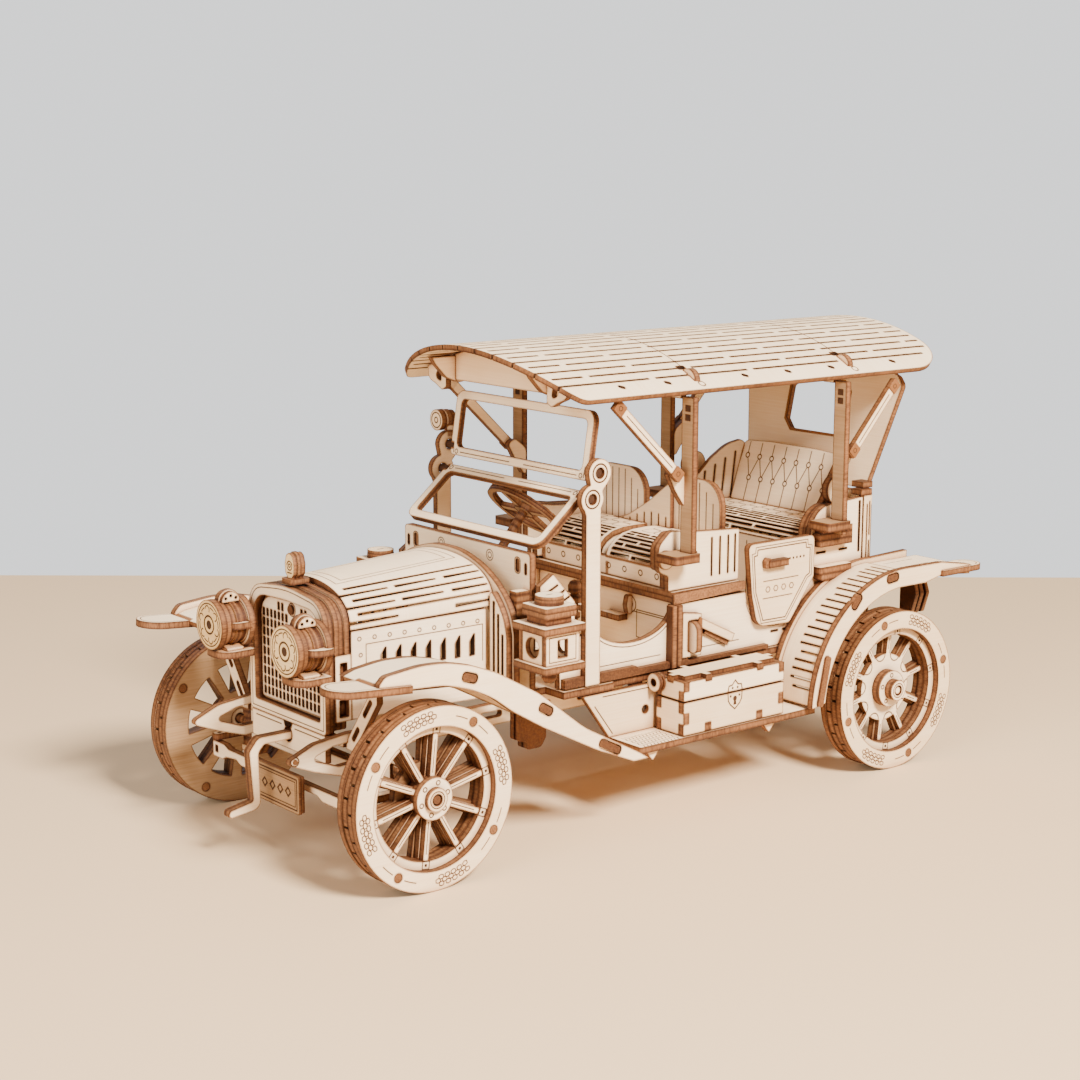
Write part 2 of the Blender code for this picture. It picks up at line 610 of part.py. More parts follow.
def roof_canopy():
    """One bent sheet with rounded corners."""
    r = roof_radius()
    span = math.asin(ROOF_HALF / r)
    front_corner, rear_corner, steps = 25.0, 18.0, 20
    reach = r * span
    bm = bmesh.new()
    rows = []
    for i in range(steps + 1):
        along = -math.cos(math.pi * i / steps)
        angle = span * along
        trims = []
        for corner in (front_corner, rear_corner):
            past = max(0.0, abs(along) * reach - (reach - corner))
            trims.append(corner - math.sqrt(corner ** 2 - past ** 2))
        row = []
        for radius in (r, r - ROOF_T):
            y = radius * math.sin(angle)
            z = ROOF_TOP_Z - r + radius * math.cos(angle)
            row.append(bm.verts.new((ROOF_FRONT + trims[0], y, z)))
            row.append(bm.verts.new((ROOF_REAR - trims[1], y, z)))
        rows.append(row)
    for one, two in zip(rows, rows[1:]):
        for a, b in ((0, 1), (1, 3), (3, 2), (2, 0)):
            bm.faces.new((one[a], one[b], two[b], two[a]))
    for row in (rows[0], rows[-1]):
        bm.faces.new((row[0], row[1], row[3], row[2]))
    finish(new_object("roof_canopy", bm), smooth=True)


def under_roof(half, steps=10):
    """Points along the roof's underside, right to left, for a piece that carries it."""
    ys = [half - 2 * half * i / steps for i in range(steps + 1)]
    return [(y, roof_z(y, ROOF_T + GAP)) for y in ys]


def roof_header():
    board = sheet("board", "x", -31.0, -31.0 + SHEET, [(-27.5, 147.4), (27.5, 147.4)] + under_roof(27.5, 6))
    ribs = []
    for side in (LEFT, RIGHT):
        top = roof_z(28.6, ROOF_T + GAP)
        outline = [(-41.5, top), (-41.0, 152.0), (-36.0, 147.2), (-30.0, 145.4), (-25.0, 147.0),
                   (-20.0, top)]
        ribs.append(side_sheet("rib", side, 26.0, 28.5, outline))
    finish(fuse("roof_header", board, *ribs))


def roof_bow(name, x):
    half = 43.9
    outline = [(-half, 144.2), (-half + 5.0, 144.2)] \
        + [(y, roof_z(y, ROOF_T + 5.5)) for y in (-30, -15, 0, 15, 30)] \
        + [(half - 5.0, 144.2), (half, 144.2)] + under_roof(half, 12)
    finish(sheet(name, "x", x, x + SHEET, outline))


def bar_outline(start, end, width):
    """A straight bar with square ends between two points."""
    run = (Vector(end) - Vector(start)).normalized()
    side = Vector((-run.y, run.x)) * width / 2
    a, b = Vector(start), Vector(end)
    return [tuple(a - side), tuple(b - side), tuple(b + side), tuple(a + side)]


def roof_post(base, side, x, foot_z, lean):
    """Post with its foot bracket, knee and the brace that reaches for the roof's end."""
    inner, outer = 44.2, 50.2
    top = roof_z(outer, ROOF_T + GAP) - 0.5
    low, high = sorted((side * inner, side * outer))
    post = sheet("post", "x", x, x + SHEET, box_outline(low, high, foot_z, top))
    foot = sheet("foot", "z", foot_z - 0.9, foot_z + 1.6,
                 box_outline(x - 5.6, x + 8.2, *sorted((side * (BODY_Y + GAP), side * 50.6))))
    centre = x + SHEET / 2
    knee_z = 106.0
    end = (centre + lean * (31.5 if lean < 0 else 28.0), 143.0)
    brace = side_sheet("brace", side, 45.9, 48.4, bar_outline((centre, knee_z), end, 3.6))
    knee = side_sheet("knee", side, 45.9, 48.4,
                      [(centre, knee_z - 8), (centre + lean * 6.6, knee_z - 4),
                       (centre + lean * 7.6, knee_z + 4), (centre, knee_z + 8)][::int(lean)])
    finish(fuse(side_name(base, side), post, foot, brace, knee))


# ---- fittings ----
def toolbox():
    """Open box on the left foot board, and its deep lid on a rear hinge."""
    x0, x1, y0, y1 = 2.0, 50.3, -60.0, -46.0
    split = 41.6
    shell = block("shell", x0, x1, y0, y1, 29.9, split)
    well = block("well", x0 + SHEET, x1 - SHEET, y0 + SHEET, y1 - SHEET, 29.9 + SHEET, split + 1)
    finish(combine("toolbox", "DIFFERENCE", shell, [well]))
    cover = block("cover", x0, x1, y0, y1, split + 2 * GAP, 50.4)
    hollow = block("hollow", x0 + SHEET, x1 - SHEET, y0 + SHEET, y1 - SHEET, split - 1, 50.4 - SHEET)
    cover = combine("cover", "DIFFERENCE", cover, [hollow])
    eye = turned("eye", "x", (0, *LID_PIVOT),
                 [(1.2, x0 - 2.2), (3.0, x0 - 2.2), (3.0, x0 + 0.6), (1.2, x0 + 0.6)], 14)
    lid = fuse("toolbox_lid", cover, eye)
    finish(lid, pivot=(26.0, *LID_PIVOT))


def headlamp(side):
    y, z = side * 23.0, 74.3
    drum = turned("drum", "x", (0, y, z),
                  [(0, -134.8), (9.0, -134.8), (9.0, -132.2), (8.2, -132.2), (8.2, -124.4),
                   (9.0, -124.4), (9.0, -122.0), (0, -122.0)], 16)
    base = sheet("base", "z", 62.6, 65.1,
                 box_outline(-134.0, -121.0, y - 6.5, y + 6.5, 2))
    neck = block("neck", -131.0, -125.4, y - 1.6, y + 1.6, 64.5, 67.5)
    chimney = turned("chimney", "x", (0, y, z + 9.2),
                     [(0, -130.4), (3.4, -130.4), (3.4, -126.0), (0, -126.0)], 10)
    arm = block("arm", -124.0, -119.9, y - side * 3.4, y - side * 0.4, 62.7, 66.2)
    name = side_name("headlamp", side)
    finish(fuse(name, drum, base, neck, chimney, arm), GOLD_TINT, smooth=True)


def lantern(side):
    """Stacked square lantern on a bracket beside the cowl."""
    x, y = -48.5, side * 48.9

    def tier(half, low, high):
        return block("tier", x - half, x + half, y - half, y + half, low, high)

    pieces = [tier(8.9, 59.0, 61.6), tier(7.4, 61.0, 71.0), tier(9.1, 70.4, 73.0),
              tier(5.6, 72.5, 76.2), tier(7.0, 75.6, 79.2),
              disc("cap", "z", (x, y, 0), 5.2, 78.8, 82.4, 14),
              disc("ball", "z", (x, y, 0), 2.6, 53.6, 59.4, 8)]
    finish(fuse(side_name("lantern", side), *pieces))


def steering_wheel():
    rim = turned("rim", "z", (0, 0, 0), [(12.7, -1.2), (15.4, -1.2), (15.4, 1.3), (12.7, 1.3)], 16)
    spoke_a = block("spoke", -13.2, 13.2, -1.3, 1.3, -1.0, 1.1)
    spoke_b = block("spoke", -1.3, 1.3, -13.2, 13.2, -0.9, 1.0)
    column = disc("column", "z", (0, 0, 0), 1.8, -48.0, 2.2, 10)
    wheel_obj = fuse("steering_wheel", rim, spoke_a, spoke_b, column)
    turn = Matrix.Translation(Vector(STEER_AT) * MM)
    turn = turn @ Matrix.Rotation(math.radians(STEER_TILT), 4, "Y")
    wheel_obj.data.transform(turn)
    finish(wheel_obj, pivot=STEER_AT, smooth=True)


def hand_crank():
    """Flat crank: shaft, drop arm and handle cut as one piece."""
    outline = rounded([(-117.2, CRANK_Z - 1.4), (-117.2, CRANK_Z + 1.4), (-132.0, CRANK_Z + 1.4, 3),
                       (-135.6, CRANK_Z - 3.0, 2), (-134.4, 19.2, 1), (-143.4, 17.4, 1),
                       (-143.8, 14.8, 1), (-131.4, 16.4, 3), (-132.2, CRANK_Z - 3.6, 3),
                       (-129.8, CRANK_Z - 1.4, 1)])
    crank = sheet("hand_crank", "y", -SHEET / 2, SHEET / 2, outline)
    finish(crank, pivot=(-AXLE_X, 0, CRANK_Z))


def number_plate():
    plate = sheet("number_plate", "x", -126.0, -123.5, box_outline(-16.4, 16.4, 16.2, 29.4, 0.8))
    finish(plate)


def hand_lever():
    x, y, z = LEVER_AT
    profile = [(0, 49.1), (1.3, 49.1), (1.3, 76.4), (2.8, 77.4), (2.8, 79.2), (1.6, 80.0),
               (2.4, 81.2), (2.4, 82.6), (0, 83.4)]
    finish(turned("hand_lever", "z", (x, y, 0), profile, 12), pivot=(x, y, z), smooth=True)


def build():
    for item in list(bpy.data.objects):
        bpy.data.objects.remove(item)
    chassis_frame()
    front_axle()
    rear_axle()
    tie_rod()
    floor_pan()
    radiator()
    hood_top()
    cowl_hoop()
    cowl()
    rear_body_panel()
    front_seat_base()
    front_seat()
    rear_seat()
    back_panel()
    windshield()
    roof_canopy()
    roof_header()
    roof_bow("roof_bow_mid", MID_POST_X)
    roof_bow("roof_bow_rear", REAR_POST_X)
    for side in (LEFT, RIGHT):
        wheel("front" + side_name("", side), -AXLE_X, side, False)
        wheel("rear" + side_name("", side), AXLE_X, side, True)
        knuckle(side)
        hood_side(side)
        body_side(side)
        rear_door(side)
        windshield_post(side)
        roof_post("mid_post", side, MID_POST_X, 88.5, -1)
        roof_post("rear_post", side, REAR_POST_X, 88.5, 1)
        front_fender(side)
        rear_fender(side)
        running_board(side)
        headlamp(side)
        lantern(side)
    toolbox()
    steering_wheel()
    hand_crank()
    number_plate()
    hand_lever()


build()
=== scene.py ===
"""Looks of the laser-cut touring car kit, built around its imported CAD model.

Lengths are millimetres, and MM turns them into metres.  +X is the car's tail, -Y its left side.
A sheet is drawn in its own (a, b) plane with a height h, and a view function places it.
"""
import json
import math
import random

import bpy
from mathutils import Matrix, Vector
from mathutils.geometry import delaunay_2d_cdt


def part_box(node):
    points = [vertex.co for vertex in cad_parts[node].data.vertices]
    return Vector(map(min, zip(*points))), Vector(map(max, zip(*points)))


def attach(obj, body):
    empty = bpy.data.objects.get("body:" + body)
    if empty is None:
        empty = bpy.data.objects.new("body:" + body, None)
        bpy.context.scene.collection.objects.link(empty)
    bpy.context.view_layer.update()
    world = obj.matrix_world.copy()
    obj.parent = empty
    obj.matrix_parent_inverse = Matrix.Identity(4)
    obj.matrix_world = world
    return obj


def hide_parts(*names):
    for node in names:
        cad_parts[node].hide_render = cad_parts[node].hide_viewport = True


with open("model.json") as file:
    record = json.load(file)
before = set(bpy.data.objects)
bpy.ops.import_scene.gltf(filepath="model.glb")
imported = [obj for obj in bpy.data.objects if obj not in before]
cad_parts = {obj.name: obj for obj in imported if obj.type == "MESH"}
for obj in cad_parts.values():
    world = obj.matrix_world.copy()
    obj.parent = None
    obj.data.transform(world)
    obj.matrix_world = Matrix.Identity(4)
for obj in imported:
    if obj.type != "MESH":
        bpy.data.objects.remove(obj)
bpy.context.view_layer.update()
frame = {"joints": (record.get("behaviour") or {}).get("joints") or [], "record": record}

MM = 0.001
SIDES = LEFT, RIGHT = -1, 1
SHEET = 2.5                       # thickness of the plywood
LINE = 0.28                       # width of an engraved line
DEPTH = 0.12                      # depth of an engraved line
FACE, EDGE, BURN = 0, 1, 2        # material indices of every piece
PLY = (FACE, EDGE, BURN)          # a sheet's face, cut edge and engraving
DARK = (EDGE, EDGE, BURN)         # a small piece that is toasted all over
# black all over: painted shade behind the grille cells and in the windshield pivot holes
SHADE_BLACK = (BURN, BURN, BURN)

wheels = [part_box(f"tyre_{end}_left") for end in ("front", "rear")]
MIDDLE_X = -sum(corner[0] for box in wheels for corner in box) / 4 / MM

BODY_OF = {node: body for body, nodes in frame["record"]["behaviour"]["bodies"].items()
           for node in nodes}


def in_mm(metres):
    """A place in the frame, in millimetres from midway between the axles, to a hundredth."""
    x, y, z = metres
    return Vector((round(x / MM + MIDDLE_X, 2), round(y / MM, 2), round(z / MM, 2)))


def span(node):
    """Low and high corners of a CAD node."""
    low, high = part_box(node)
    return in_mm(low), in_mm(high)


PIVOTS = {joint["name"]: in_mm(joint["pos_m"]) for joint in frame["joints"] if "pos_m" in joint}


# ---- materials ----
def wood(name, light, dark, edge=False, burn=False):
    """Plywood colour from each sheet's own coordinates: a, b and the height through it."""
    material = bpy.data.materials.new(name)
    material.use_nodes = True
    nodes, links = material.node_tree.nodes, material.node_tree.links
    shader = nodes["Principled BSDF"]

    def add(kind, **inputs):
        node = nodes.new(kind)
        for key, value in inputs.items():
            node.inputs[key.replace("_", " ")].default_value = value
        return node

    cut = nodes.new("ShaderNodeAttribute")
    cut.attribute_name = "cut"
    stretch = add("ShaderNodeMapping")
    stretch.inputs["Scale"].default_value = (1.6, 1.6, 0.35) if edge or burn else (0.045, 1.5, 1.0)
    links.new(cut.outputs["Vector"], stretch.inputs["Vector"])
    grain = add("ShaderNodeTexNoise", Scale=1.0, Detail=6.0, Roughness=0.62)
    links.new(stretch.outputs["Vector"], grain.inputs["Vector"])
    cloud = add("ShaderNodeTexNoise", Scale=0.045, Detail=3.0)
    links.new(cut.outputs["Vector"], cloud.inputs["Vector"])
    blend = add("ShaderNodeMix", Factor=0.35)
    links.new(grain.outputs["Fac"], blend.inputs["A"])
    links.new(cloud.outputs["Fac"], blend.inputs["B"])

    def ramp(factor, *stops):
        node = nodes.new("ShaderNodeValToRGB")
        elements = node.color_ramp.elements
        while len(elements) < len(stops):
            elements.new(0.5)
        for element, (position, shade) in zip(elements, stops):
            element.position = position
            element.color = (*shade, 1)
        links.new(factor, node.inputs["Fac"])
        return node.outputs["Color"]

    def hollows(reach, inside):
        """How open each spot is, to its neighbours or across its own sheet."""
        node = add("ShaderNodeAmbientOcclusion", Distance=reach * MM)
        node.samples = 6
        node.inside = node.only_local = inside
        return node.outputs["AO"]

    def multiply(colour, factor, shade):
        mix = nodes.new("ShaderNodeMix")
        mix.data_type = "RGBA"
        mix.blend_type = "MULTIPLY"
        links.new(factor, mix.inputs["Factor"])
        links.new(colour, mix.inputs["A"])
        mix.inputs["B"].default_value = (*shade, 1)
        return mix.outputs["Result"]

    tone = nodes.new("ShaderNodeAttribute")
    tone.attribute_name = "tone"
    colour = ramp(blend.outputs["Result"], (0.36, dark), (0.66, light))
    colour = multiply(colour, tone.outputs["Fac"], (0.84, 0.78, 0.70))
    if edge:
        parts = nodes.new("ShaderNodeSeparateXYZ")
        links.new(cut.outputs["Vector"], parts.inputs["Vector"])
        sheets = add("ShaderNodeMath")
        sheets.operation = "MULTIPLY"
        sheets.inputs[1].default_value = 1 / SHEET
        links.new(parts.outputs["Z"], sheets.inputs[0])
        ply = add("ShaderNodeMath")
        ply.operation = "FRACT"
        links.new(sheets.outputs[0], ply.inputs[0])
        darkness = (0.0, 1.0), (0.14, 0.75), (0.30, 0.12), (0.66, 0.0), (0.80, 0.6), (1.0, 1.0)
        bands = ramp(ply.outputs[0], *[(place, (value,) * 3) for place, value in darkness])
        colour = multiply(colour, bands, (0.34, 0.25, 0.19))
    white, black = (1, 1, 1), (0, 0, 0)
    if not burn:
        # painted shade: brown darkening of faces and cut edges in creases, recesses and between parts, from
        # occlusion by neighbours within 5 mm
        painted_shade = ramp(hollows(5.0, inside=False), (0.25, white), (0.85, black))
        colour = multiply(colour, painted_shade, (0.42, 0.24, 0.14))
    if not edge and not burn:
        scorch = ramp(hollows(0.65, inside=True), (0.6, white), (0.93, black))
        colour = multiply(colour, scorch, (0.24, 0.12, 0.055))
    links.new(colour, shader.inputs["Base Color"])
    shine = add("ShaderNodeMapRange", From_Min=0.3, From_Max=0.7, To_Min=0.52, To_Max=0.74)
    links.new(grain.outputs["Fac"], shine.inputs["Value"])
    links.new(shine.outputs["Result"], shader.inputs["Roughness"])
    shader.inputs["Specular IOR Level"].default_value = 0.25
    bump = add("ShaderNodeBump", Strength=0.18 if not edge else 0.35, Distance=0.05 * MM)
    links.new(grain.outputs["Fac"], bump.inputs["Height"])
    links.new(bump.outputs["Normal"], shader.inputs["Normal"])
    return material


EDGE_WOOD = wood("burnt_edge", (0.33, 0.145, 0.055), (0.085, 0.029, 0.011), edge=True)
BURN_WOOD = wood("engraved_line", (0.085, 0.033, 0.013), (0.03, 0.012, 0.006), burn=True)
LOOKS = {
    "pale_ply": [wood("pale_face", (0.95, 0.77, 0.54), (0.87, 0.65, 0.41)), EDGE_WOOD, BURN_WOOD],
    "golden_ply": [wood("golden_face", (0.94, 0.72, 0.38), (0.80, 0.54, 0.24)), EDGE_WOOD, BURN_WOOD],
    # toasted faces: the darker wood of some pieces, and painted shade on the tyres' inner sheets and the
    # roof posts
    "toasted_ply": [wood("toasted_and_shaded_face", (0.44, 0.27, 0.14), (0.30, 0.17, 0.075)), EDGE_WOOD, BURN_WOOD],
}


def link(name, data):
    obj = bpy.data.objects.new(name, data)
    bpy.context.scene.collection.objects.link(obj)
    return obj


# ---- outlines ----
def polar(r, degrees, cx=0.0, cy=0.0):
    angle = math.radians(degrees)
    return (cx + r * math.cos(angle), cy + r * math.sin(angle))


def arc(cx, cy, r, start, end, steps):
    return [polar(r, start + (end - start) * i / steps, cx, cy) for i in range(steps + 1)]


def circle(cx, cy, r, steps=28):
    return arc(cx, cy, r, 0, 360, steps)[:-1]


def rounded(corners, steps=5):
    """A polygon whose corners (a, b, radius) are rounded; (a, b) stays sharp."""
    points = []
    count = len(corners)
    for i, corner in enumerate(corners):
        here = Vector(corner[:2])
        radius = corner[2] if len(corner) > 2 else 0
        if radius == 0:
            points.append(tuple(here))
            continue
        before = (Vector(corners[i - 1][:2]) - here).normalized()
        after = (Vector(corners[(i + 1) % count][:2]) - here).normalized()
        half = before.angle(after) / 2
        reach = radius / math.tan(half)
        centre = here + (before + after).normalized() * radius / math.sin(half)
        first = here + before * reach - centre
        turn = first.angle_signed(here + after * reach - centre)
        for k in range(steps + 1):
            points.append(tuple(centre + Matrix.Rotation(-turn * k / steps, 2) @ first))
    return points


def rect(a0, a1, b0, b1, r=0.0):
    return rounded([(a0, b0, r), (a1, b0, r), (a1, b1, r), (a0, b1, r)])


def block(a, b, da, db, r=0.0):
    """A rectangle about (a, b), given its half sizes."""
    return rect(a - da, a + da, b - db, b + db, r)


def turned_points(points, degrees, ca=0.0, cb=0.0):
    c, s = math.cos(math.radians(degrees)), math.sin(math.radians(degrees))
    return [(ca + (a - ca) * c - (b - cb) * s, cb + (a - ca) * s + (b - cb) * c) for a, b in points]


def mirrored(half):
    """An outline that is the same on both sides of a = 0, from its half."""
    return half + [(-p[0], *p[1:]) for p in reversed(half) if p[0]]


def stroke(points, width=LINE, closed=False):
    """Polygons that cover a line of some width along points."""
    points = [Vector(p) for p in points]
    count = len(points)
    offsets = []
    for i, here in enumerate(points):
        runs = []
        if closed or i > 0:
            runs.append((here - points[i - 1]).normalized())
        if closed or i < count - 1:
            runs.append((points[(i + 1) % count] - here).normalized())
        along = sum(runs, Vector((0, 0))).normalized()
        normal = Vector((-along.y, along.x))
        lean = max(0.45, normal.dot(Vector((-runs[0].y, runs[0].x))))
        offsets.append(normal * width / 2 / lean)
    left = [p + o for p, o in zip(points, offsets)]
    right = [p - o for p, o in zip(points, offsets)]
    if not closed:
        return [[tuple(p) for p in left + right[::-1]]]
    half = count // 2
    halves = (list(range(half + 1)), list(range(half, count)) + [0])
    return [[tuple(left[i]) for i in part] + [tuple(right[i]) for i in part[::-1]] for part in halves]


def bar(p, q, width):
    return stroke([p, q], width)[0]


def ring(cx, cy, r, width=LINE, steps=20):
    return stroke(circle(cx, cy, r, steps), width, closed=True)


def slot(cx, cy, length, width, degrees=0.0):
    """A round-ended slot."""
    return turned_points(block(cx, cy, length / 2, width / 2, width * 0.42), degrees, cx, cy)


def offset(outline, inset):
    """The outline moved inwards (or outwards, when inset is negative)."""
    if area(outline) < 0:
        outline = outline[::-1]
    points = [Vector(p) for p in outline]
    moved = []
    for i, here in enumerate(points):
        one = (here - points[i - 1]).normalized()
        two = (points[(i + 1) % len(points)] - here).normalized()
        normal = Vector((-one.y - two.y, one.x + two.x)).normalized()
        lean = max(0.5, normal.dot(Vector((-one.y, one.x))))
        moved.append(tuple(here + normal * inset / lean))
    return moved


def area(points):
    return sum(p[0] * q[1] - q[0] * p[1] for p, q in zip(points, points[1:] + points[:1])) / 2


# ---- where a sheet lies: (a, b, h) to (x, y, z) ----
def outside(a, b, h):
    return (a, h, b)


def across(side):
    """Like outside, with h towards the car's left or right."""
    return lambda a, b, h: (a, side * h, b)


def front(a, b, h):
    return (-h, a, b)


def back(a, b, h):
    return (h, a, b)


def above(a, b, h):
    return (a, b, h)


def tilted(origin, along, up):
    """A view from an origin whose a axis points along and whose b axis leans with up."""
    o, u = Vector(origin), Vector(along).normalized()
    n = u.cross(Vector(up)).normalized()
    v = n.cross(u)
    return lambda a, b, h: o + u * a + v * b + n * h


def bent(path, place=lambda u, v, b: (u, b, v)):
    """A view whose a axis runs along a bent path, b across it and h off it, its length and its folds."""
    spots = [Vector(p) for p in path]
    reach = [0.0]
    for p, q in zip(spots, spots[1:]):
        reach.append(reach[-1] + (q - p).length)
    normals = []
    for i in range(len(spots)):
        run = (spots[min(i + 1, len(spots) - 1)] - spots[max(i - 1, 0)]).normalized()
        normals.append(Vector((-run.y, run.x)))

    def view(a, b, h):
        k = max([i for i in range(len(spots) - 1) if reach[i] <= a] or [0])
        t = (a - reach[k]) / (reach[k + 1] - reach[k])
        spot = spots[k].lerp(spots[k + 1], t) + normals[k].lerp(normals[k + 1], t) * h
        return place(spot.x, spot.y, b)
    return view, reach[-1], [((a, -199), (a, 199)) for a in reach[1:-1]]


def mirrors(view, a, b, h):
    """Whether a view turns what it shows into its mirror image."""
    here = Vector(view(a, b, h))
    steps = [Vector(view(*place)) - here for place in ((a + 0.01, b, h), (a, b + 0.01, h), (a, b, h + 0.01))]
    return steps[0].cross(steps[1]).dot(steps[2]) < 0


# ---- pieces ----
class Kit:
    """Collects the cut sheets and turned bits that stand for one CAD node."""

    def __init__(self, node, side=RIGHT, extra=""):
        self.node, self.side, self.extra = node, side, extra
        self.verts, self.cuts, self.tones = [], [], []
        self.faces, self.mats = [], []
        self.random = random.Random(node + extra)

    def _add(self, points, faces, mats):
        shift = Vector((self.random.uniform(0, 900), self.random.uniform(0, 900), 0))
        tone = self.random.random() ** 1.6
        start = len(self.verts)
        for place, cut in points:
            self.verts.append(((place[0] - MIDDLE_X) * MM, place[1] * self.side * MM, place[2] * MM))
            self.cuts.append(Vector(cut) + shift)
            self.tones.append(tone)
        order = -1 if self.side < 0 else 1
        self.faces += [[start + i for i in face][::order] for face in faces]
        self.mats += mats

    def plate(self, view, low, high, outline, holes=(), grooves=(), folds=(), slits=(), depth=DEPTH,
              mats=PLY):
        """A sheet from low to high.  Holes and slits go through it, and a slit's walls are charred.
        Grooves are engraved in its high face, and folds are lines where a bent sheet turns."""
        through = len(holes) + len(slits)
        loops = [loop if area(loop) > 0 else loop[::-1] for loop in (outline, *holes, *slits, *grooves)]
        flat, faces = [], []
        for loop in loops:
            faces.append(list(range(len(flat), len(flat) + len(loop))))
            flat += [Vector(p) for p in loop]
        edges = []
        for p, q in folds:
            edges.append((len(flat), len(flat) + 1))
            flat += [Vector(p), Vector(q)]
        spots, _, cells, _, _, owners = delaunay_2d_cdt(flat, edges, faces, 0, 1e-4)
        levels = []
        for owner in owners:
            if 0 not in owner or any(0 < i <= len(holes) for i in owner):
                levels.append(0)
            elif any(0 < i <= through for i in owner):
                levels.append(-1)
            elif any(i > through for i in owner):
                levels.append(1)
            else:
                levels.append(2)
        heights = (low, high - depth, high)
        index, points, faces, kinds = {}, [], [], []

        def vert(i, level):
            if (i, level) not in index:
                index[i, level] = len(points)
                a, b = spots[i]
                points.append((view(a, b, heights[level]), (a, b, heights[level] - low)))
            return index[i, level]

        neighbour = {}
        for cell, level in zip(cells, levels):
            for i, j in zip(cell, cell[1:] + cell[:1]):
                neighbour[i, j] = level
        for cell, level in zip(cells, levels):
            if level <= 0:
                continue
            faces.append([vert(i, level) for i in cell])
            kinds.append(mats[0] if level == 2 else mats[2])
            faces.append([vert(i, 0) for i in reversed(cell)])
            kinds.append(mats[0])
            for i, j in zip(cell, cell[1:] + cell[:1]):
                other = neighbour.get((j, i), 0)
                if other < level:
                    base = max(other, 0)
                    faces.append([vert(i, base), vert(j, base), vert(j, level), vert(i, level)])
                    kinds.append(mats[1] if other == 0 else mats[2])
        if mirrors(view, *outline[0], low):
            faces = [face[::-1] for face in faces]
        self._add(points, faces, kinds)

    def box(self, x0, x1, y0, y1, z0, z1, mats=PLY):
        self.plate(above, z0, z1, rect(x0, x1, min(y0, y1), max(y0, y1)), mats=mats)

    def lathe(self, view, centre, profile, steps=32, mats=(FACE, EDGE)):
        """A closed profile of (radius, height) turned about the view's h axis."""
        ca, cb = centre
        points, rings = [], []
        for radius, height in profile:
            spin = circle(0, 0, radius, steps) if radius else [(0.0, 0.0)]
            rings.append(list(range(len(points), len(points) + len(spin))))
            points += [(view(ca + a, cb + b, height), (a * 2, b * 2, height)) for a, b in spin]
        faces, kinds = [], []
        for k, one in enumerate(rings):
            two = rings[(k + 1) % len(rings)]
            if len(one) == 1 and len(two) == 1:
                continue
            (r0, h0), (r1, h1) = profile[k], profile[(k + 1) % len(rings)]
            flat = abs(h1 - h0) < abs(r1 - r0) * 0.6
            for i in range(steps):
                j = (i + 1) % steps
                face = [one[i % len(one)], one[j % len(one)], two[j % len(two)], two[i % len(two)]]
                faces.append(list(dict.fromkeys(face)))
                kinds.append(mats[0] if flat else mats[1])
        if mirrors(view, ca, cb, 0) != (area(profile) < 0):
            faces = [face[::-1] for face in faces]
        self._add(points, faces, kinds)

    def disc(self, view, centre, r, low, high, steps=28, mats=(FACE, EDGE)):
        self.lathe(view, centre, [(0, low), (r, low), (r, high), (0, high)], steps, mats)

    def done(self, look="pale_ply"):
        name = self.node + "_sheets" + self.extra
        mesh = bpy.data.meshes.new(name)
        mesh.from_pydata(self.verts, [], self.faces)
        for material in LOOKS[look]:
            mesh.materials.append(material)
        mesh.polygons.foreach_set("material_index", self.mats)
        cut = mesh.attributes.new("cut", "FLOAT_VECTOR", "POINT")
        cut.data.foreach_set("vector", [value for point in self.cuts for value in point])
        tone = mesh.attributes.new("tone", "FLOAT", "POINT")
        tone.data.foreach_set("value", self.tones)
        mesh.shade_smooth()
        mesh.set_sharp_from_angle(angle=math.radians(32))
        mesh.validate()
        obj = link(name, mesh)
        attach(obj, BODY_OF[self.node])
        if not self.extra:
            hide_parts(self.node)
        return obj


def named(base, side):
    return base + ("_left" if side == LEFT else "_right")


# ---- driving dimensions, from the CAD ----
front_low, front_high = span("tyre_front_left")
rear_low, rear_high = span("tyre_rear_left")
AXLE_X = (rear_low.x + rear_high.x - front_low.x - front_high.x) / 4
WHEEL_R = (front_high.z - front_low.z) / 2
WHEEL_IN, WHEEL_OUT = -front_high.y, -front_low.y
KINGPIN_Y = PIVOTS["steer_right"].y
tie_low, tie_high = span("tie_rod")
ARM_X = -(tie_low.x + tie_high.x) / 2        # the tie rod's middle, forwards
RAIL_Y = 31.0                                # outer face of a chassis rail
BODY_Y = span("body_side_right")[1].y        # outer face of a body side
FLOOR_Z = span("floor_pan")[0].z
RAD_X = span("radiator_shell")[0].x          # front face of the radiator
HOOD_START = RAD_X + 9.9
HOOP_X = span("cowl_hoop")[0].x              # front face of the hoop behind the hood
HOOP_STEP = 2.4
COWL_X = span("cowl")[1].x - SHEET
PIVOT_LOW = PIVOTS["windshield_lower_lift"].xz
PIVOT_UP = PIVOTS["windshield_upper_fold"].xz
POST_Y = span("windshield_post_right")[0].y
FENDER_Y = -span("front_fender_left")[0].y   # outer face of a fender
MID_BOW_X = span("roof_bow_mid")[0].x
REAR_BOW_X = span("roof_bow_rear")[0].x
GAP = 0.3                                    # room left between neighbours
MARKS_R = 26.8                               # radius of the dowels and marks on a tyre


# ---- wheels, axles and steering ----
def honeycomb(degrees):
    """Rows of small engraved cells along the tyre's face."""
    lines = []
    for row in (-1, 0, 1):
        for k in range(-2, 3):
            a = degrees + (k + 0.5 * (row % 2)) * 5.4
            x, y = polar(MARKS_R + 1.15 * row, a)
            right = [(0.45, -0.85), (0.75, 0), (0.45, 0.85)]
            cell = [(x + p, y + q) for p, q in mirrored(right)]
            lines += stroke(turned_points(cell, a, x, y), 0.2, closed=True)
    return lines


def wheel_view(end):
    """A wheel seen from outside, about its own centre."""
    x = -AXLE_X if end == "front" else AXLE_X
    return lambda a, b, h: (x + a, h, WHEEL_R + b)


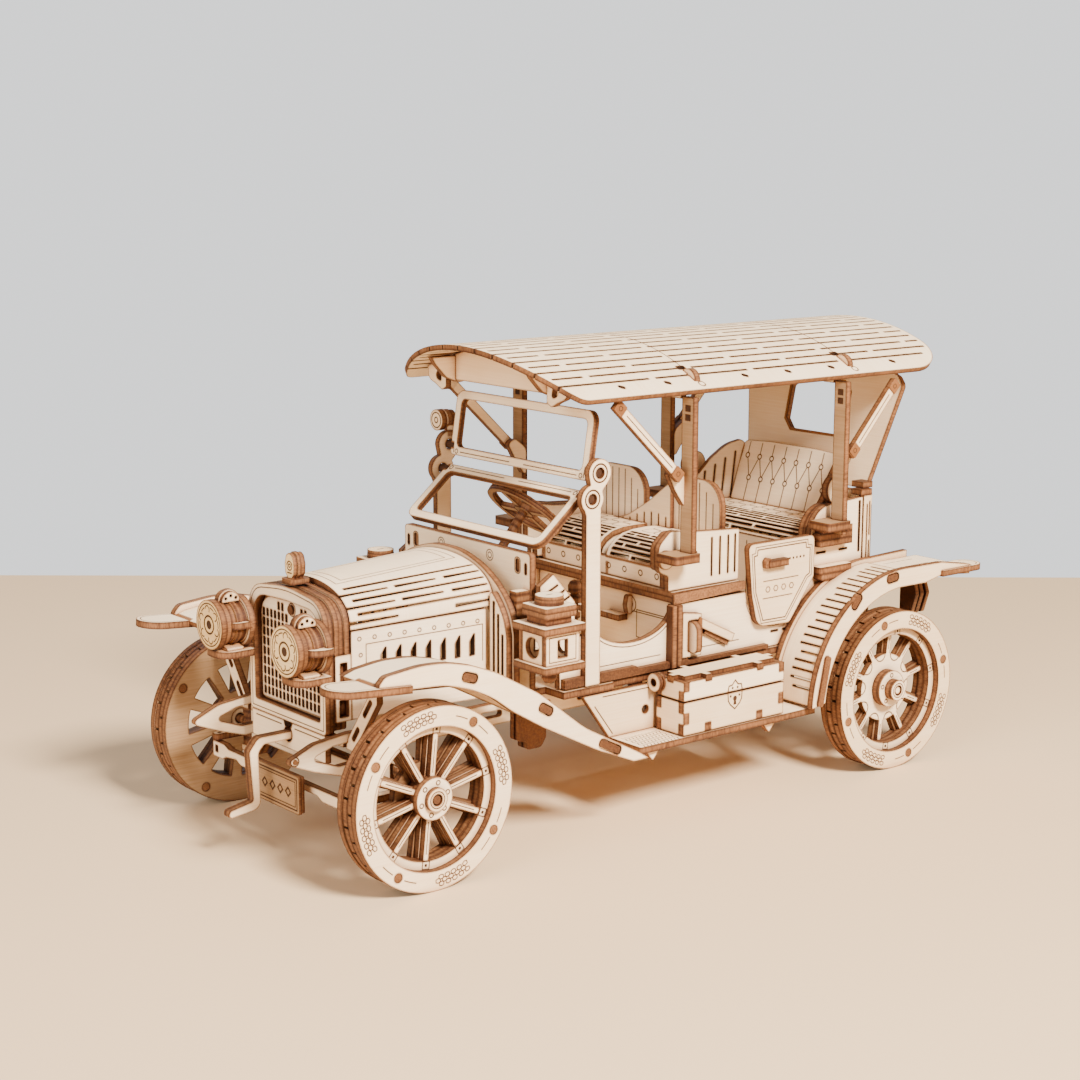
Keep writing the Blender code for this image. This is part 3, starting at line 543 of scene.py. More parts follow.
def tyre(end, side):
    phase = 57 if end == "front" else 17
    around = wheel_view(end)
    dowels = [polar(MARKS_R, phase + 90 * k) for k in range(4)]
    holes = [circle(a, b, 1.55, 16) for a, b in dowels]
    marks = []
    for k in range(4):
        angle = phase + 90 * k
        marks += honeycomb(angle + 45)
        for low, high in ((-16, -5.5), (5.5, 16)):
            marks += stroke(arc(0, 0, MARKS_R, angle + low, angle + high, 6), 0.2)
    kit = Kit(named("tyre_" + end, side), side)
    kit.plate(around, WHEEL_OUT - SHEET, WHEEL_OUT, circle(0, 0, WHEEL_R, 96),
              [circle(0, 0, 23.3, 80)] + holes, marks)

    spoke_turns = [36 * k + 12 for k in range(10)]
    tabs = []
    for a in spoke_turns:
        centre = polar(21.9, a)
        tabs += stroke(turned_points(block(*centre, 1.25, 1.3), a, *centre), 0.22, closed=True)
        tabs.append(turned_points(block(*centre, 0.4, 0.4), a, *centre))
    for depth, skew, ends in ((WHEEL_OUT - SHEET - 0.12, 0, tabs), (WHEEL_OUT - 2 * SHEET - 0.24, 9, [])):
        notches = []
        for k in range(20):
            a = skew + 18 * k
            notches.append([polar(WHEEL_R + 1, a - 1.1), polar(WHEEL_R + 1, a + 1.1),
                            polar(WHEEL_R - 2.2, a + 0.5), polar(WHEEL_R - 2.2, a - 0.5)])
        kit.plate(around, depth - SHEET + 0.1, depth, circle(0, 0, WHEEL_R - 0.25, 100),
                  [circle(0, 0, 20.6, 72)], ends, slits=notches)
    for centre in dowels:
        kit.disc(around, centre, 1.4, WHEEL_IN + 0.1, WHEEL_OUT - 0.08, 14, mats=DARK)
    kit.done()

    # painted shade: the inner sheet takes the toasted faces to stand for the shade it sits in
    kit = Kit(named("tyre_" + end, side), side, "_inner")
    windows = [arc(0, 0, 20.8, a + 6, a + 30, 6) + arc(0, 0, 10.6, a + 27, a + 9, 3) for a in spoke_turns]
    kit.plate(lambda a, b, h: around(a, b, -h), 3 * SHEET + 0.4 - WHEEL_OUT, -WHEEL_IN,
              circle(0, 0, WHEEL_R, 96), [circle(0, 0, 3.6, 20)] + windows + holes)
    kit.done("toasted_ply")


def spokes(end, side):
    around = wheel_view(end)
    rear = end == "rear"
    base = 53.3 if rear else 56.5
    bore = [circle(0, 0, 1.9, 20)]
    kit = Kit(named("spokes_" + end, side), side)
    for low, half, foot in ((base, 1.35, 6.4), (base + 2.4, 1.0, 12.8 if rear else 6.4)):
        star, lines = [], []
        reach = 17 - math.degrees(math.asin(half / foot))
        for k in range(10):
            a = 36 * k + 12
            star += turned_points([(foot, -half), (20.5, -half), (20.5, half), (foot, half)], a)
            star += arc(0, 0, foot, a + 18 - reach, a + 18 + reach, 4)
            lines += stroke(turned_points([(foot + 1.5, 0), (18.5, 0)], a), 0.2)
            if foot > 10:
                lines += stroke(arc(*polar(13.0, a + 18), 2.5, a + 126, a + 270, 8), 0.3)
        kit.plate(around, low, low + 2.3, star, [circle(0, 0, 2.6, 20)], lines)
    count, first = (5, 20) if rear else (6, 15)
    bolts = []
    for k in range(count):
        bolts += ring(*polar(5.2, 360 / count * k + first), 0.75, 0.25, 10)
    top, tip = base + 4.8, 61.6 if rear else 63.4
    kit.plate(around, top, tip, circle(0, 0, 6.9, 48), bore, bolts)
    kit.plate(around, tip, 64.95, circle(0, 0, 3.9, 36), bore, ring(0, 0, 2.7, 0.25, 24))
    if not rear:
        kit.plate(around, base - 2.3, base - 0.1, circle(0, 0, 6.5, 40), bore)
    kit.done()


def axle_sheets():
    """Front beam with its forked ends, the rear axle, knuckles and tie rod."""
    kit = Kit("front_axle")
    low, high, web, ear = 20.0, 39.6, 40.4, 49.2
    half = [(36.0, 26.0), (web, low), (ear, low), (ear, low + 2.4), (web + 2.1, low + 2.4),
            (web + 2.1, high - 2.4), (ear, high - 2.4), (ear, high), (web, high), (36.0, 32.1)]
    holes = [rect(a - 7, a + 7, 28.2, 29.9, 0.8) for a in (-24, 0, 24)]
    for h in (AXLE_X + 0.1, AXLE_X - 2.4):
        kit.plate(front, h, h + 2.3, mirrored(half), holes)
    kit.done()

    kit = Kit("rear_axle")
    rod = [(1.4, 64.6), (1.4, 52.0), (2.3, 52.0), (2.3, 9.0), (5.0, 9.0), (5.0, 6.0), (8.8, 6.0), (8.8, 2.0),
           (6.5, 2.0), (6.5, 0)]
    profile = [(0, 64.6)] + rod + [(r, -h) for r, h in reversed(rod[:-1])] + [(0, -64.6)]
    kit.lathe(wheel_view("rear"), (0, 0), profile)
    kit.done()

    for side in SIDES:
        kit = Kit(named("knuckle", side), side)
        for k in range(5):
            z = 22.8 + k * 2.8
            kit.disc(above, (-AXLE_X, KINGPIN_Y), 3.1 if k % 2 == 0 else 2.8, z, z + 2.7)
        kit.disc(wheel_view("front"), (0, 0), 1.4, KINGPIN_Y, 64.6, mats=DARK)
        arm = rect(-ARM_X - 2.3, -AXLE_X, KINGPIN_Y - 1.7, KINGPIN_Y + 1.7, 1.2)
        kit.plate(above, 26.7, 29.0, arm, [circle(-ARM_X, KINGPIN_Y, 0.7, 12)])
        kit.done()

    kit = Kit("tie_rod")
    reach = KINGPIN_Y + 2.4
    half = [(18, 22.4), (21, 21.0), (30, 21.0), (33, 22.4), (40, 21.6), (42, 20.4), (reach, 20.4),
            (reach, 26.0), (41, 26.0), (38, 24.8)]
    kit.plate(front, ARM_X - 1.2, ARM_X + 1.2, mirrored(half),
              [block(s * KINGPIN_Y, 23.4, 0.9, 1.2) for s in SIDES])
    kit.done()


# ---- chassis ----
def chassis():
    kit = Kit("chassis_frame")
    outline = rounded([
        (-140.1, 39.6, 1.2), (-129, 44.3, 8), (-116, 45.8, 3), (-100, 45.5), (136, 45.5, 2),
        (136, 39.1, 2), (119, 38.1, 3), (111, 25.6, 3), (100.8, 25.6, 3), (93, 38.1, 3),
        (-93, 38.1, 3), (-98.5, 32.5), (-113.5, 32.5, 2), (-119, 31.9, 2), (-129, 35.1, 5)])
    window = rounded([(-131, 39.4, 1.0), (-122, 42.4, 1.5), (-104, 43.2, 1.2), (-104, 36.4, 1.2),
                      (-120, 35.4, 1.5)])
    slots = [slot(x, 41.8, 9, 2.2) for x in range(-80, 90, 21)]
    for side in SIDES:
        view = across(side)
        kit.plate(view, RAIL_Y - SHEET, RAIL_Y, outline,
                  [circle(AXLE_X, WHEEL_R, 2.6, 20), window] + slots, ring(-136.4, 39.9, 1.5, 0.3, 14))
        kit.disc(view, (-136.4, 39.9), 0.8, RAIL_Y, RAIL_Y + 0.7, 12, mats=DARK)
        strut = [(side * a, b) for a, b in
                 ((30.2, 40.3), (34.4, 40.3), (47.8, 58.7), (47.8, 62.2), (44.2, 62.2), (30.2, 42.8))]
        eye = [slot(side * 42.4, 56.2, 7.5, 1.7, side * 54), slot(side * 35.6, 46.4, 6.0, 1.7, side * 54)]
        kit.plate(front, 114.2, 116.5, strut, eye)
    half = RAIL_Y - SHEET - 0.1
    for x in (-90, -30, 40, 128):
        kit.plate(front, -x - SHEET, -x, rect(-half, half, 39.7, 44.8),
                  [rect(a - 5, a + 5, 41.2, 43.0, 0.6) for a in (-17, 0, 17)])
    kit.plate(front, 114.2, 116.5, rect(-half, half, 40.4, 42.9))
    notch = mirrored([(2.9, 44.0), (2.0, 41.4)])
    kit.plate(front, 117.4, 119.5, rect(-22.5, 22.5, 34.0, 43.2), [circle(0, 39, 2.6, 20)],
              [bar((s * 20, 41.6), (s * 4, 41.6), 0.3) for s in SIDES], slits=[notch])
    kit.done()

    kit = Kit("floor_pan")
    wide, narrow, nose = 43.9, 41.7, 33.9
    half = [(-43, nose), (-38, nose), (-38, wide), (-16, wide), (-14, narrow), (108, narrow)]
    planks = [bar((x, -36), (x, 36), LINE) for x in range(-30, 108, 6)]
    kit.plate(above, FLOOR_Z, FLOOR_Z + SHEET, half + [(a, -b) for a, b in reversed(half)], (), planks)
    kit.done()


def running_board(side):
    kit = Kit(named("running_board", side), side)
    tread = []
    for i in range(11):
        for j in range(4):
            a, b = -15.6 + i * 1.55, 47.6 + j * 3.1
            tread += stroke([(a, b), (a + 0.8, b + 1.55), (a, b + 3.1)], 0.2)
    if side == RIGHT:
        for i in range(32):
            tread += stroke([(2.5 + i * 2.0, 47.6), (2.5 + i * 2.0, 59)], 0.2)
    kit.plate(above, 27.1, 29.5, rect(-17.7, 66.7, 43.0, 60.3, 0.6), (), tread)
    border = [bar((-16.4, 30.6), (-24.6, 41.6), LINE), bar((-21.0, 44.4), (56.0, 44.4), LINE)]
    kit.plate(outside, 42.1, 44.1, [(-29.8, 45.8), (-16.9, 28.1), (57, 28.1), (59.4, 45.8)],
              [circle(-1.5, 36.8, 1.6, 16)], border)
    for x in (-10.5, 45.0):
        kit.plate(outside, 56.1, 58.4, [(x - 3.9, 27.6), (x, 23.3), (x + 3.9, 27.6)])
    kit.done()


# ---- fenders ----
def fender_plate(kit, outline, pins, room):
    """A fender's outer side, with the ends of tabs (a, b, length, height, tilt) let into it."""
    kit.plate(outside, FENDER_Y - SHEET, FENDER_Y, outline,
              slits=[slot(a, b, length, height, tilt) for a, b, length, height, tilt in pins])
    for a, b, length, height, tilt in pins:
        kit.plate(outside, FENDER_Y - 2.2, FENDER_Y - 0.1,
                  slot(a, b, length - room, height - room, tilt), mats=DARK)


def front_fender(side):
    kit = Kit(named("front_fender", side), side)
    top = [(-127.2, 69.2, 1.6), (-124.4, 72.3, 3), (-111, 73.7, 40), (-101.5, 73.2, 40), (-91.6, 70.8, 40),
           (-81.8, 66.9, 40), (-64.4, 57.1, 40), (-45.5, 42.4, 40), (-22, 29.9, 20)]
    low = [(-17.1, 26.9), (-24, 26.9), (-39.8, 33.6, 40), (-62.7, 45.4, 40), (-75.8, 53.2, 40),
           (-83.5, 59.0, 40), (-91.7, 62.9, 40), (-101.7, 66.0, 30), (-113, 66.7), (-125.5, 67.1, 1.4)]
    fender_plate(kit, rounded(top + low, 3), ((-92.4, 66.9, 6.3, 3.3, -18), (-61.9, 51.4, 6.3, 3.3, -30),
                                              (-34.5, 33.9, 10.5, 3.3, -27)), 0.8)
    crest = rounded([(-126.8, 68.9), (-122.6, 70.3, 6), (-112.5, 71.6, 40), (-101.5, 71.2, 40),
                     (-91.7, 69.0, 30), (-81.9, 65.3, 40), (-64.5, 56.2, 60), (-45.6, 41.3, 60),
                     (-27, 31.0)], 3)
    view, length, folds = bent(crest)
    kit.plate(view, -1.9, 0, rect(0, length, 44.5, FENDER_Y - SHEET - 0.1), folds=folds)
    kit.plate(outside, 42.1, 44.4, crest[:-4] + [(-49, 39.6), (-83, 57.5), (-101.7, 64.8), (-116.5, 66.4)])
    hook = rounded([(-59.6, 47.0), (-59.6, 36.0, 1), (-56.4, 36.0, 1), (-56.4, 32.8, 1), (-50.4, 32.8, 2),
                    (-48.2, 36.0, 2), (-48.2, 40.6)], 4)
    for low, high in ((42.1, 44.2), (45.0, 47.1)):
        kit.plate(outside, low, high, hook, mats=DARK)

    middle, half, start = -57.9, 7.0, 98.5
    length = 142.6 - start
    tongue = tilted((-start, 0, 66.4), (-1, 0, 0.075), (0, -1, 0))
    nose = arc(length - half, middle, half, -90, 90, 14)
    line = [(18, middle - 5.6)] + arc(length - half, middle, half - 1.4, -85, 85, 12) + [(8, middle + 5.6)]
    outline = [(0, -61.8), (16.3, -61.8), (16.3, middle - half)] + nose + [(0, middle + half)]
    kit.plate(tongue, -1.9, 0.5, outline, (), stroke(line, 0.2))
    kit.done()


FENDER_CENTRE = (108.5, 28.5)


def fender_arc(r, start, end, steps):
    return arc(*FENDER_CENTRE, r, start, end, steps)


def rear_fender(side):
    kit = Kit(named("rear_fender", side), side)
    outline = fender_arc(47.5, 178, 88, 30) + [(128.8, 75.8), (144.5, 73.2), (146.2, 72.0), (144.6, 69.4),
                                               (129, 70.9), (120.2, 69.1)] + fender_arc(40.7, 92, 176, 28)
    fender_plate(kit, outline, ((82.9, 66.8, 6.6, 3.5, 50), (101.8, 73.2, 6.6, 3.5, 6)), 0.9)

    def over(a, b, h):
        x, z = polar(44.6 + h, a, *FENDER_CENTRE)
        return (x, b, z)

    marks = []
    for k in range(20):
        a = 170 - k * 3.95
        marks.append(rect(a - 0.4, a + 0.4, 50.6 if k % 4 else 52.4, 60.8))
    folds = [((a, 44.0), (a, 62.0)) for a in range(92, 178, 2)]
    kit.plate(over, 0, 2.0, rect(90, 177.4, 44.6, FENDER_Y - SHEET - 0.1), (), (), folds, marks)
    kit.plate(outside, 42.3, 44.5, fender_arc(48.1, 177.6, 88, 28) + [(131, 77.2), (131, 72.4)]
              + fender_arc(42.2, 88, 177.4, 26))
    kit.plate(above, 72.6, 74.6, rect(108.0, 136.0, 44.6, FENDER_Y - SHEET - 0.1), (),
              [bar((113, b), (129, b), 0.2) for b in (49, 57)])
    tab = rounded([(63.2, 31.0, 1), (65.8, 30.4, 1), (69.6, 48.4, 1), (67.0, 49.2, 1)], 3)
    kit.plate(outside, FENDER_Y - 2.4, FENDER_Y + 0.9, tab, mats=DARK)
    middle, half, tip = 59.3, 5.6, 153.5
    nose = arc(tip - half, middle, half, -90, 90, 14)
    kit.plate(above, 70.3, 72.5, nose + [(128.6, middle + half), (128.6, middle - half)], (),
              stroke(arc(tip - half, middle, half - 1.4, 80, -80, 9), 0.2))
    for k, (low, high) in enumerate(((132.5, 134.6), (135.2, 137.3), (138.6, 140.4))):
        lamp = rounded([(52.0, 40.5 - k), (68.8 - k, 40.5, 1), (68.8 - k, 46.0, 1), (60.0, 48.5, 2),
                        (52.0, 46.0, 1)], 3)
        kit.plate(lambda a, b, h: (h, b, a), low, high, lamp, mats=DARK)
    kit.done()


# ---- nose ----
def radiator_window(half, low, high, crown, corner):
    return rounded(mirrored([(half, low, corner), (half, high, 7), (0, crown, 60)]), 5)


def radiator_arch(grow, foot=None):
    """The shell's outline, straight down from its shoulders or as narrow as foot below the neck."""
    half, neck_z = 23.15 + grow, 69.4
    legs = [(-foot, 43.4, 1.5), (-foot, neck_z), (-half, neck_z)] if foot else [(-half, 43.4, 1.5)]
    return rounded(mirrored(legs + [(-half, 86.4 + grow, 9), (0, 89.2 + grow, 60)]), 6)


def radiator():
    kit = Kit("radiator_shell")
    face = radiator_arch(-0.05)
    kit.plate(front, -RAD_X - 1.9, -RAD_X, face, [radiator_window(19.9, 47.2, 83.4, 84.2, 1)],
              stroke(offset(face, 1.3), 0.22, True))
    for k, grow in enumerate((-0.7, -0.1, -0.7, -0.1)):
        h = -RAD_X - 3.75 - k * 1.9
        foot, shrink = (20.7, 0.5) if k else (None, -0.4)
        kit.plate(front, h, h + 1.8, radiator_arch(grow, foot), [
            radiator_window(19.9 - shrink, 47.2 + shrink, 83.4 - shrink, 84.2 - shrink, 1)])
    kit.done()

    kit = Kit("radiator_grille")
    badge_z = 80.6
    cells = []
    for i in range(16):
        a = (i - 7.5) * 2.34
        for j in range(10):
            b = 49.0 + j * 3.35
            if b < 80.0 - 0.012 * a * a and math.hypot(a, b - 79.5) > 4.9:
                cells.append(rect(a - 0.68, a + 0.68, b, b + 2.65))
    kit.plate(front, -RAD_X - 4.4, -RAD_X - 2.5, radiator_window(19.3, 47.8, 82.8, 83.4, 0.8), (),
              ring(0, badge_z, 2.2, 0.25, 18), slits=cells)
    kit.disc(front, (0, badge_z), 1.6, -RAD_X - 3.0, -RAD_X - 1.7, 18, mats=DARK)
    backing = radiator_window(19.35, 47.75, 82.85, 83.65, 1)
    # painted shade: a black sheet behind the grille cells stands for the shade inside the shell
    kit.plate(front, -RAD_X - 9.4, -RAD_X - 8.2, backing, mats=SHADE_BLACK)
    kit.done()

    kit = Kit("radiator_cap")
    kit.plate(above, 89.5, 91.1, block(-115.4, 0, 3.6, 3.4, 1), mats=DARK)
    shape = rounded(mirrored([(1.7, 89.6), (1.7, 91.4, 0.4), (2.9, 92.6, 0.9), (3.2, 96.0, 2.5),
                              (2.3, 98.9, 1.6), (0.7, 99.9, 0.8)]), 4)
    marks = ring(0, 95.4, 1.5, 0.3, 14) + ring(0, 95.4, 0.6, 0.3, 8) + [bar((-1.4, 93.0), (1.4, 93.0), 0.3)]
    for low, high, shrink in ((113.3, 114.9, 0.35), (115.0, 116.2, 0.0), (116.3, 117.7, 0.35)):
        kit.plate(front, low, high, offset(shape, shrink), (), marks)
    kit.done("golden_ply")


def hood_point(t, side_z, top_z, half):
    """A point across the arched hood, t from 0 at the left edge to 1 at the right."""
    rise = max(math.sin(math.pi * t), 0.0) ** 0.75
    return (-math.cos(math.pi * t) * half, side_z + (top_z - side_z) * rise)


def hood():
    """The arched top, with a from 0 to 100 across the hood and b backwards along it."""
    length = HOOP_X + HOOP_STEP - GAP - HOOD_START

    def over(a, b, h):
        k = b / length
        y, z = hood_point(a / 100, 76.9 + 1.5 * k, 88.6 + 2.6 * k + h, 21.0 + 4.6 * k + h)
        return (HOOD_START + b, y, z)

    dashes = ((-0.02, 0.33), (0.38, 0.67), (0.73, 0.985))
    slots = []
    for k, a in enumerate((2.6, 7.4, 12.4, 17.6, 23.0, 28.6)):
        rows = ((0.06, 0.985),) if k % 2 else dashes[::2] if k == 0 else dashes
        for low, high in rows:
            for across_hood in (a, 100 - a):
                taper = [(0.8, low * length), (0.35, high * length)]
                slots.append([(across_hood + p, b) for p, b in mirrored(taper)])
    marks = []
    for low, high, inset, width in ((35, 38, 3, 0.14), (38, 40, 6, 0.12)):
        border = [(low, inset), (100 - low, inset), (100 - high, length - inset), (high, length - inset)]
        marks += stroke(border, width, True)
    folds = [((a, -1), (a, length + 1)) for a in range(2, 100, 3)]
    kit = Kit("hood_top")
    kit.plate(over, 0.0, 2.0, rect(0, 100, 0, length), (), marks, folds, slots, depth=0.2)
    kit.done()


def hood_side(side):
    kit = Kit(named("hood_side", side), side)
    length = HOOP_X - GAP - HOOD_START
    view = tilted((HOOD_START, 22.9, 0), (1, 4.6 / length, 0), (0, 0, 1))

    def out(a, b, h):
        x, y, z = view(a, b, 0)
        return (x, y + h, z)

    louvres = []
    for k in range(7):
        a = 11.2 + k * 5.63
        louvres.append([(a, 62.2), (a + 2.1, 62.4), (a + 2.1, 69.8), (a + 1.7, 69.8), (a, 67.2)])
    rivets = [(3.4 + k * 5.6, 73.6 + 0.03 * k, 0.66) for k in range(9)]
    rivets += [(3.8, b, 0.62) for b in (68.2, 62.4, 56.4)]
    marks = [part for a, b, r in rivets for part in ring(a, b, r, 0.2, 12)]
    marks += stroke([(5.8, 60), (5.8, 71.6), (50.2, 72.6), (50.2, 60)], 0.2)
    x = RAD_X + 3.9
    kit.plate(outside, 20.8, 23.1, rect(x, x + 6.1, 47.1, 69.2),
              [rect(x + 1.9, x + 4.6, 58.2, 66.6), rect(x + 1.5, x + 5.0, 48.6, 54.4)])
    kit.plate(out, 0.2 - SHEET, 0, [(0.3, 47.1), (length - 0.3, 47.1), (length - 0.3, 77.8), (0.3, 76.4)],
              (), marks, (), louvres)
    kit.done()


def cowl():
    kit = Kit("cowl_hoop")
    outline = rounded(mirrored([(38.4, 49.0), (38.4, 70.0, 12), (36.9, 76.2, 14), (33.8, 81.2, 20),
                                (28.4, 86.2, 30), (21.0, 90.5, 40), (11.5, 93.8, 60), (0, 95.2, 80)]), 3)
    opening = mirrored([(26.0, 52.0), (26.0, 74.0), (19.0, 84.0), (0, 88.0)])
    kit.plate(front, -HOOP_X - 4.9, -HOOP_X - HOOP_STEP - 0.1, outline, [opening])
    step = rounded([(28.3, 49.1), (37.5, 49.1), (37.5, 69.6, 12), (36.0, 75.6, 14), (32.9, 80.2, 20),
                    (28.3, 84.9, 1)], 4)
    slots = ((30.6, 56, 80.6), (33.0, 54, 76.6), (35.3, 56, 70.0))
    for s in SIDES:
        kit.plate(front, -HOOP_X - HOOP_STEP, -HOOP_X, [(s * a, b) for a, b in step],
                  slits=[rect(s * a - 0.5, s * a + 0.5, low, high) for a, low, high in slots])
    kit.done()

    kit = Kit("cowl")
    panel = rounded(mirrored([(36.1, 49.1), (36.1, 96.1, 1.5)]))
    slots = [slot(s * a, b, length, width, 90)
             for a, b, length, width in ((29.4, 91.3, 4.6, 2.1), (33.8, 90.6, 4.0, 1.3)) for s in SIDES]
    marks = []
    for s in SIDES:
        marks += ring(s * 14.0, 92.4, 1.9, 0.2, 16) + ring(s * 14.0, 92.4, 1.0, 0.2, 12)
        marks += stroke(slot(s * 29.4, 91.3, 5.6, 3.1, 90), 0.2, True)
    kit.plate(front, -COWL_X - SHEET, -COWL_X, panel, slots, marks)
    for s in SIDES:
        kit.plate(front, -COWL_X - 2.3, -COWL_X - 0.5, slot(s * 29.4, 91.3, 4.2, 1.7, 90), mats=DARK)
        kit.box(HOOP_X + 5.4, COWL_X - 0.1, s * 32.2, s * 36.0, 70.2, 83.8)
    kit.done()


# ---- body ----
def body_side(side):
    kit = Kit(named("body_side", side), side)
    entry = [(-5 + 18.5 * a, 71.2 + 10.5 * b) for a, b in arc(0, 0, 1, 200, 360, 20)]
    doorway = [(64 + 15.0 * a, 71.2 + 13.0 * b) for a, b in arc(0, 0, 1, 180, 360, 20)]
    outline = [(-37.6, 49.1), (-37.6, 66.4), (-24.0, 66.4)] + entry + doorway + [(81.6, 71.2)]
    outline += arc(92.2, 88.0, 10.6, 178, 92, 8) + [(99.0, 99.0), (109.3, 99.7), (109.3, 49.1)]
    marks = stroke([(a, b - 1.4) for a, b in entry[2:19]], 0.25)
    marks += stroke([(a, b - 1.6) for a, b in doorway[1:20]], 0.2)
    marks += [bar((-20, 54.2), (8, 54.2), 0.2), bar((26.5, 54.0), (46, 54.0), 0.2)]
    slits = [rect(85, 90, 80.6, 81.3), rect(97, 101.5, 80.6, 81.3), rect(107.2, 108.2, 79.0, 98.4)]
    slits += [slot(64.0 + k * 6, 54.6, 4.0, 0.7) for k in range(3)]
    kit.plate(outside, BODY_Y - SHEET, BODY_Y, outline, (), marks, (), slits)
    gusset = [(-46.0, 71.0), (-46.0, 85.8), (-40.4, 89.3), (-31.0, 78.7), (-31.0, 71.0)]
    rays = (((-44.6, 82.6), (-38.4, 85.4)), ((-44.0, 79.5), (-35.6, 83.2)),
            ((-43.0, 76.6), (-33.4, 80.8)), ((-41.0, 74.2), (-32.6, 77.8)))
    kit.plate(outside, BODY_Y - SHEET, BODY_Y, gusset, slits=[bar(*ray, 0.6) for ray in rays])

    skin = BODY_Y + 0.05
    ledge = [(13.2, 71.6), (47.6, 72.6), (47.6, 75.6), (13.2, 75.0)]
    kit.plate(outside, skin, BODY_Y + 1.2, ledge, mats=DARK)
    kit.plate(outside, skin, BODY_Y + 2.2, [(-37.0, 49.3), (59.0, 49.3), (59.0, 50.7), (20, 50.7),
              (19, 51.6), (-4, 51.6), (-5, 52.6), (-37, 52.6)], mats=DARK)
    for x in (10.6, 13.2):
        kit.plate(back, x, x + 2.3, rect(skin, BODY_Y + 3.2, 49.4, 71.5), mats=DARK)
    kit.plate(outside, skin, BODY_Y + 2.3, [(16.4, 52.0), (25.4, 52.0), (25.4, 67.0), (16.4, 68.4)],
              [rect(18.8, 23.8, 53.8, 65.2, 0.8)])
    bracket = rounded([(BODY_Y, 53.6), (46.8, 53.6, 2), (46.8, 64.8, 3.4), (BODY_Y, 64.8)])
    kit.plate(back, 20.0, 22.6, bracket)
    kit.plate(outside, skin, BODY_Y + 2.6, bar((23.6, 64.4), (40.8, 56.0), 3.2))
    kit.plate(outside, skin, BODY_Y + 1.6, bar((28.0, 60.4), (39.4, 54.4), 2.4), mats=DARK)
    shelves = ((84.0, 86.3, 82.4, 99.6), (86.4, 88.7, 82.4, 99.6), (88.8, 91.1, 83.6, 99.6),
               (71.4, 73.7, 83.6, 97.0), (73.8, 76.4, 82.6, 99.6))
    for low, high, start, stop in shelves:
        kit.plate(above, low, high, rect(start, stop, skin, 45.6, 0.6))
    kit.done()


def rear_door(side):
    kit = Kit(named("rear_door", side), side)
    hinge_x, outer = 47.3, 43.8
    outline = rounded([(hinge_x + 2.2, 70.0, 8), (52.5, 58.2, 5), (68.8, 57.6, 2), (81.0, 73.4, 2),
                       (81.0, 88.9, 2), (hinge_x, 89.0, 2)])
    border = [(50.2, 84.4), (51.8, 84.6), (52.0, 86.6), (76.6, 86.6), (76.8, 84.6), (78.8, 84.4),
              (78.8, 74.8), (77.0, 74.0), (67.6, 61.4), (66.6, 60.0), (55.2, 60.2), (54.8, 61.6), (51.4, 71)]
    marks = stroke(border, 0.3, True) + stroke(offset(border, -1.0)[::-1], 0.18, True)
    marks += [bar((55, 74.6), (73, 74.6), 0.22), bar((55, 68.2), (70, 68.2), 0.22)]
    for k in range(4):
        marks += ring(57.5 + k * 4.0, 71.4, 1.1, 0.2, 6)
    marks += [circle(68.4 + k * 1.8, 81.6, 0.42, 8) for k in range(5)]
    kit.plate(outside, outer - SHEET, outer, outline, (), marks)
    kit.plate(above, 79.9, 82.5, rect(56.0, 65.6, outer, outer + 2.8, 0.7), mats=DARK)
    latch = rounded([(54.4, 79.6, 1), (57.4, 79.6), (57.4, 83.0), (55.6, 83.6, 1), (54.2, 82.4, 1)])
    kit.plate(outside, outer, outer + 1.8, latch, mats=DARK)
    kit.done()


def tail():
    """The rear body panel, one sheet bent round both corners, with rows of fine cuts at the bends."""
    kit = Kit("rear_body_panel")
    corner = rounded([(109.9, 41.0), (114.8, 40.6, 4), (119.4, 36.4, 4), (119.5, 30.0)], 6)
    path = corner + [(a, -b) for a, b in reversed(corner)]
    view, length, folds = bent(path, lambda u, v, b: (u, v, b))
    rows = (((53.5, 73.5), (75.5, 96.0)), ((51.5, 66.0), (68.0, 82.5), (84.5, 97.5)))
    slits = []
    for k in range(9):
        cuts = rows[k % 2] if k else ((52, 96.5),)
        for a in (2.2 + 1.5 * k, length - 2.2 - 1.5 * k):
            slits += [rect(a - 0.22, a + 0.22, low, high) for low, high in cuts]
    marks = []
    for inset, width in ((0, 0.25), (2, 0.2)):
        marks += stroke(rect(22 + inset, length - 22 - inset, 58 + inset, 92 - inset), width, True)
    slits += [slot(length / 2 + k * 5.2, 75, 22 - abs(k) * 1.2, 1.0, 90) for k in range(-4, 5)]
    kit.plate(view, -2.4, 0, rect(0, length, 49.1, 99.9), (), marks, folds, slits)
    for s in SIDES:
        for x0, x1, y0, y1, z in ((108.6, 114.4, 35.6, 40.9, 100), (111.0, 116.2, 33.6, 39.4, 102.4)):
            kit.box(x0, x1, s * y0, s * y1, z, z + 2.3, mats=DARK)
    kit.done()


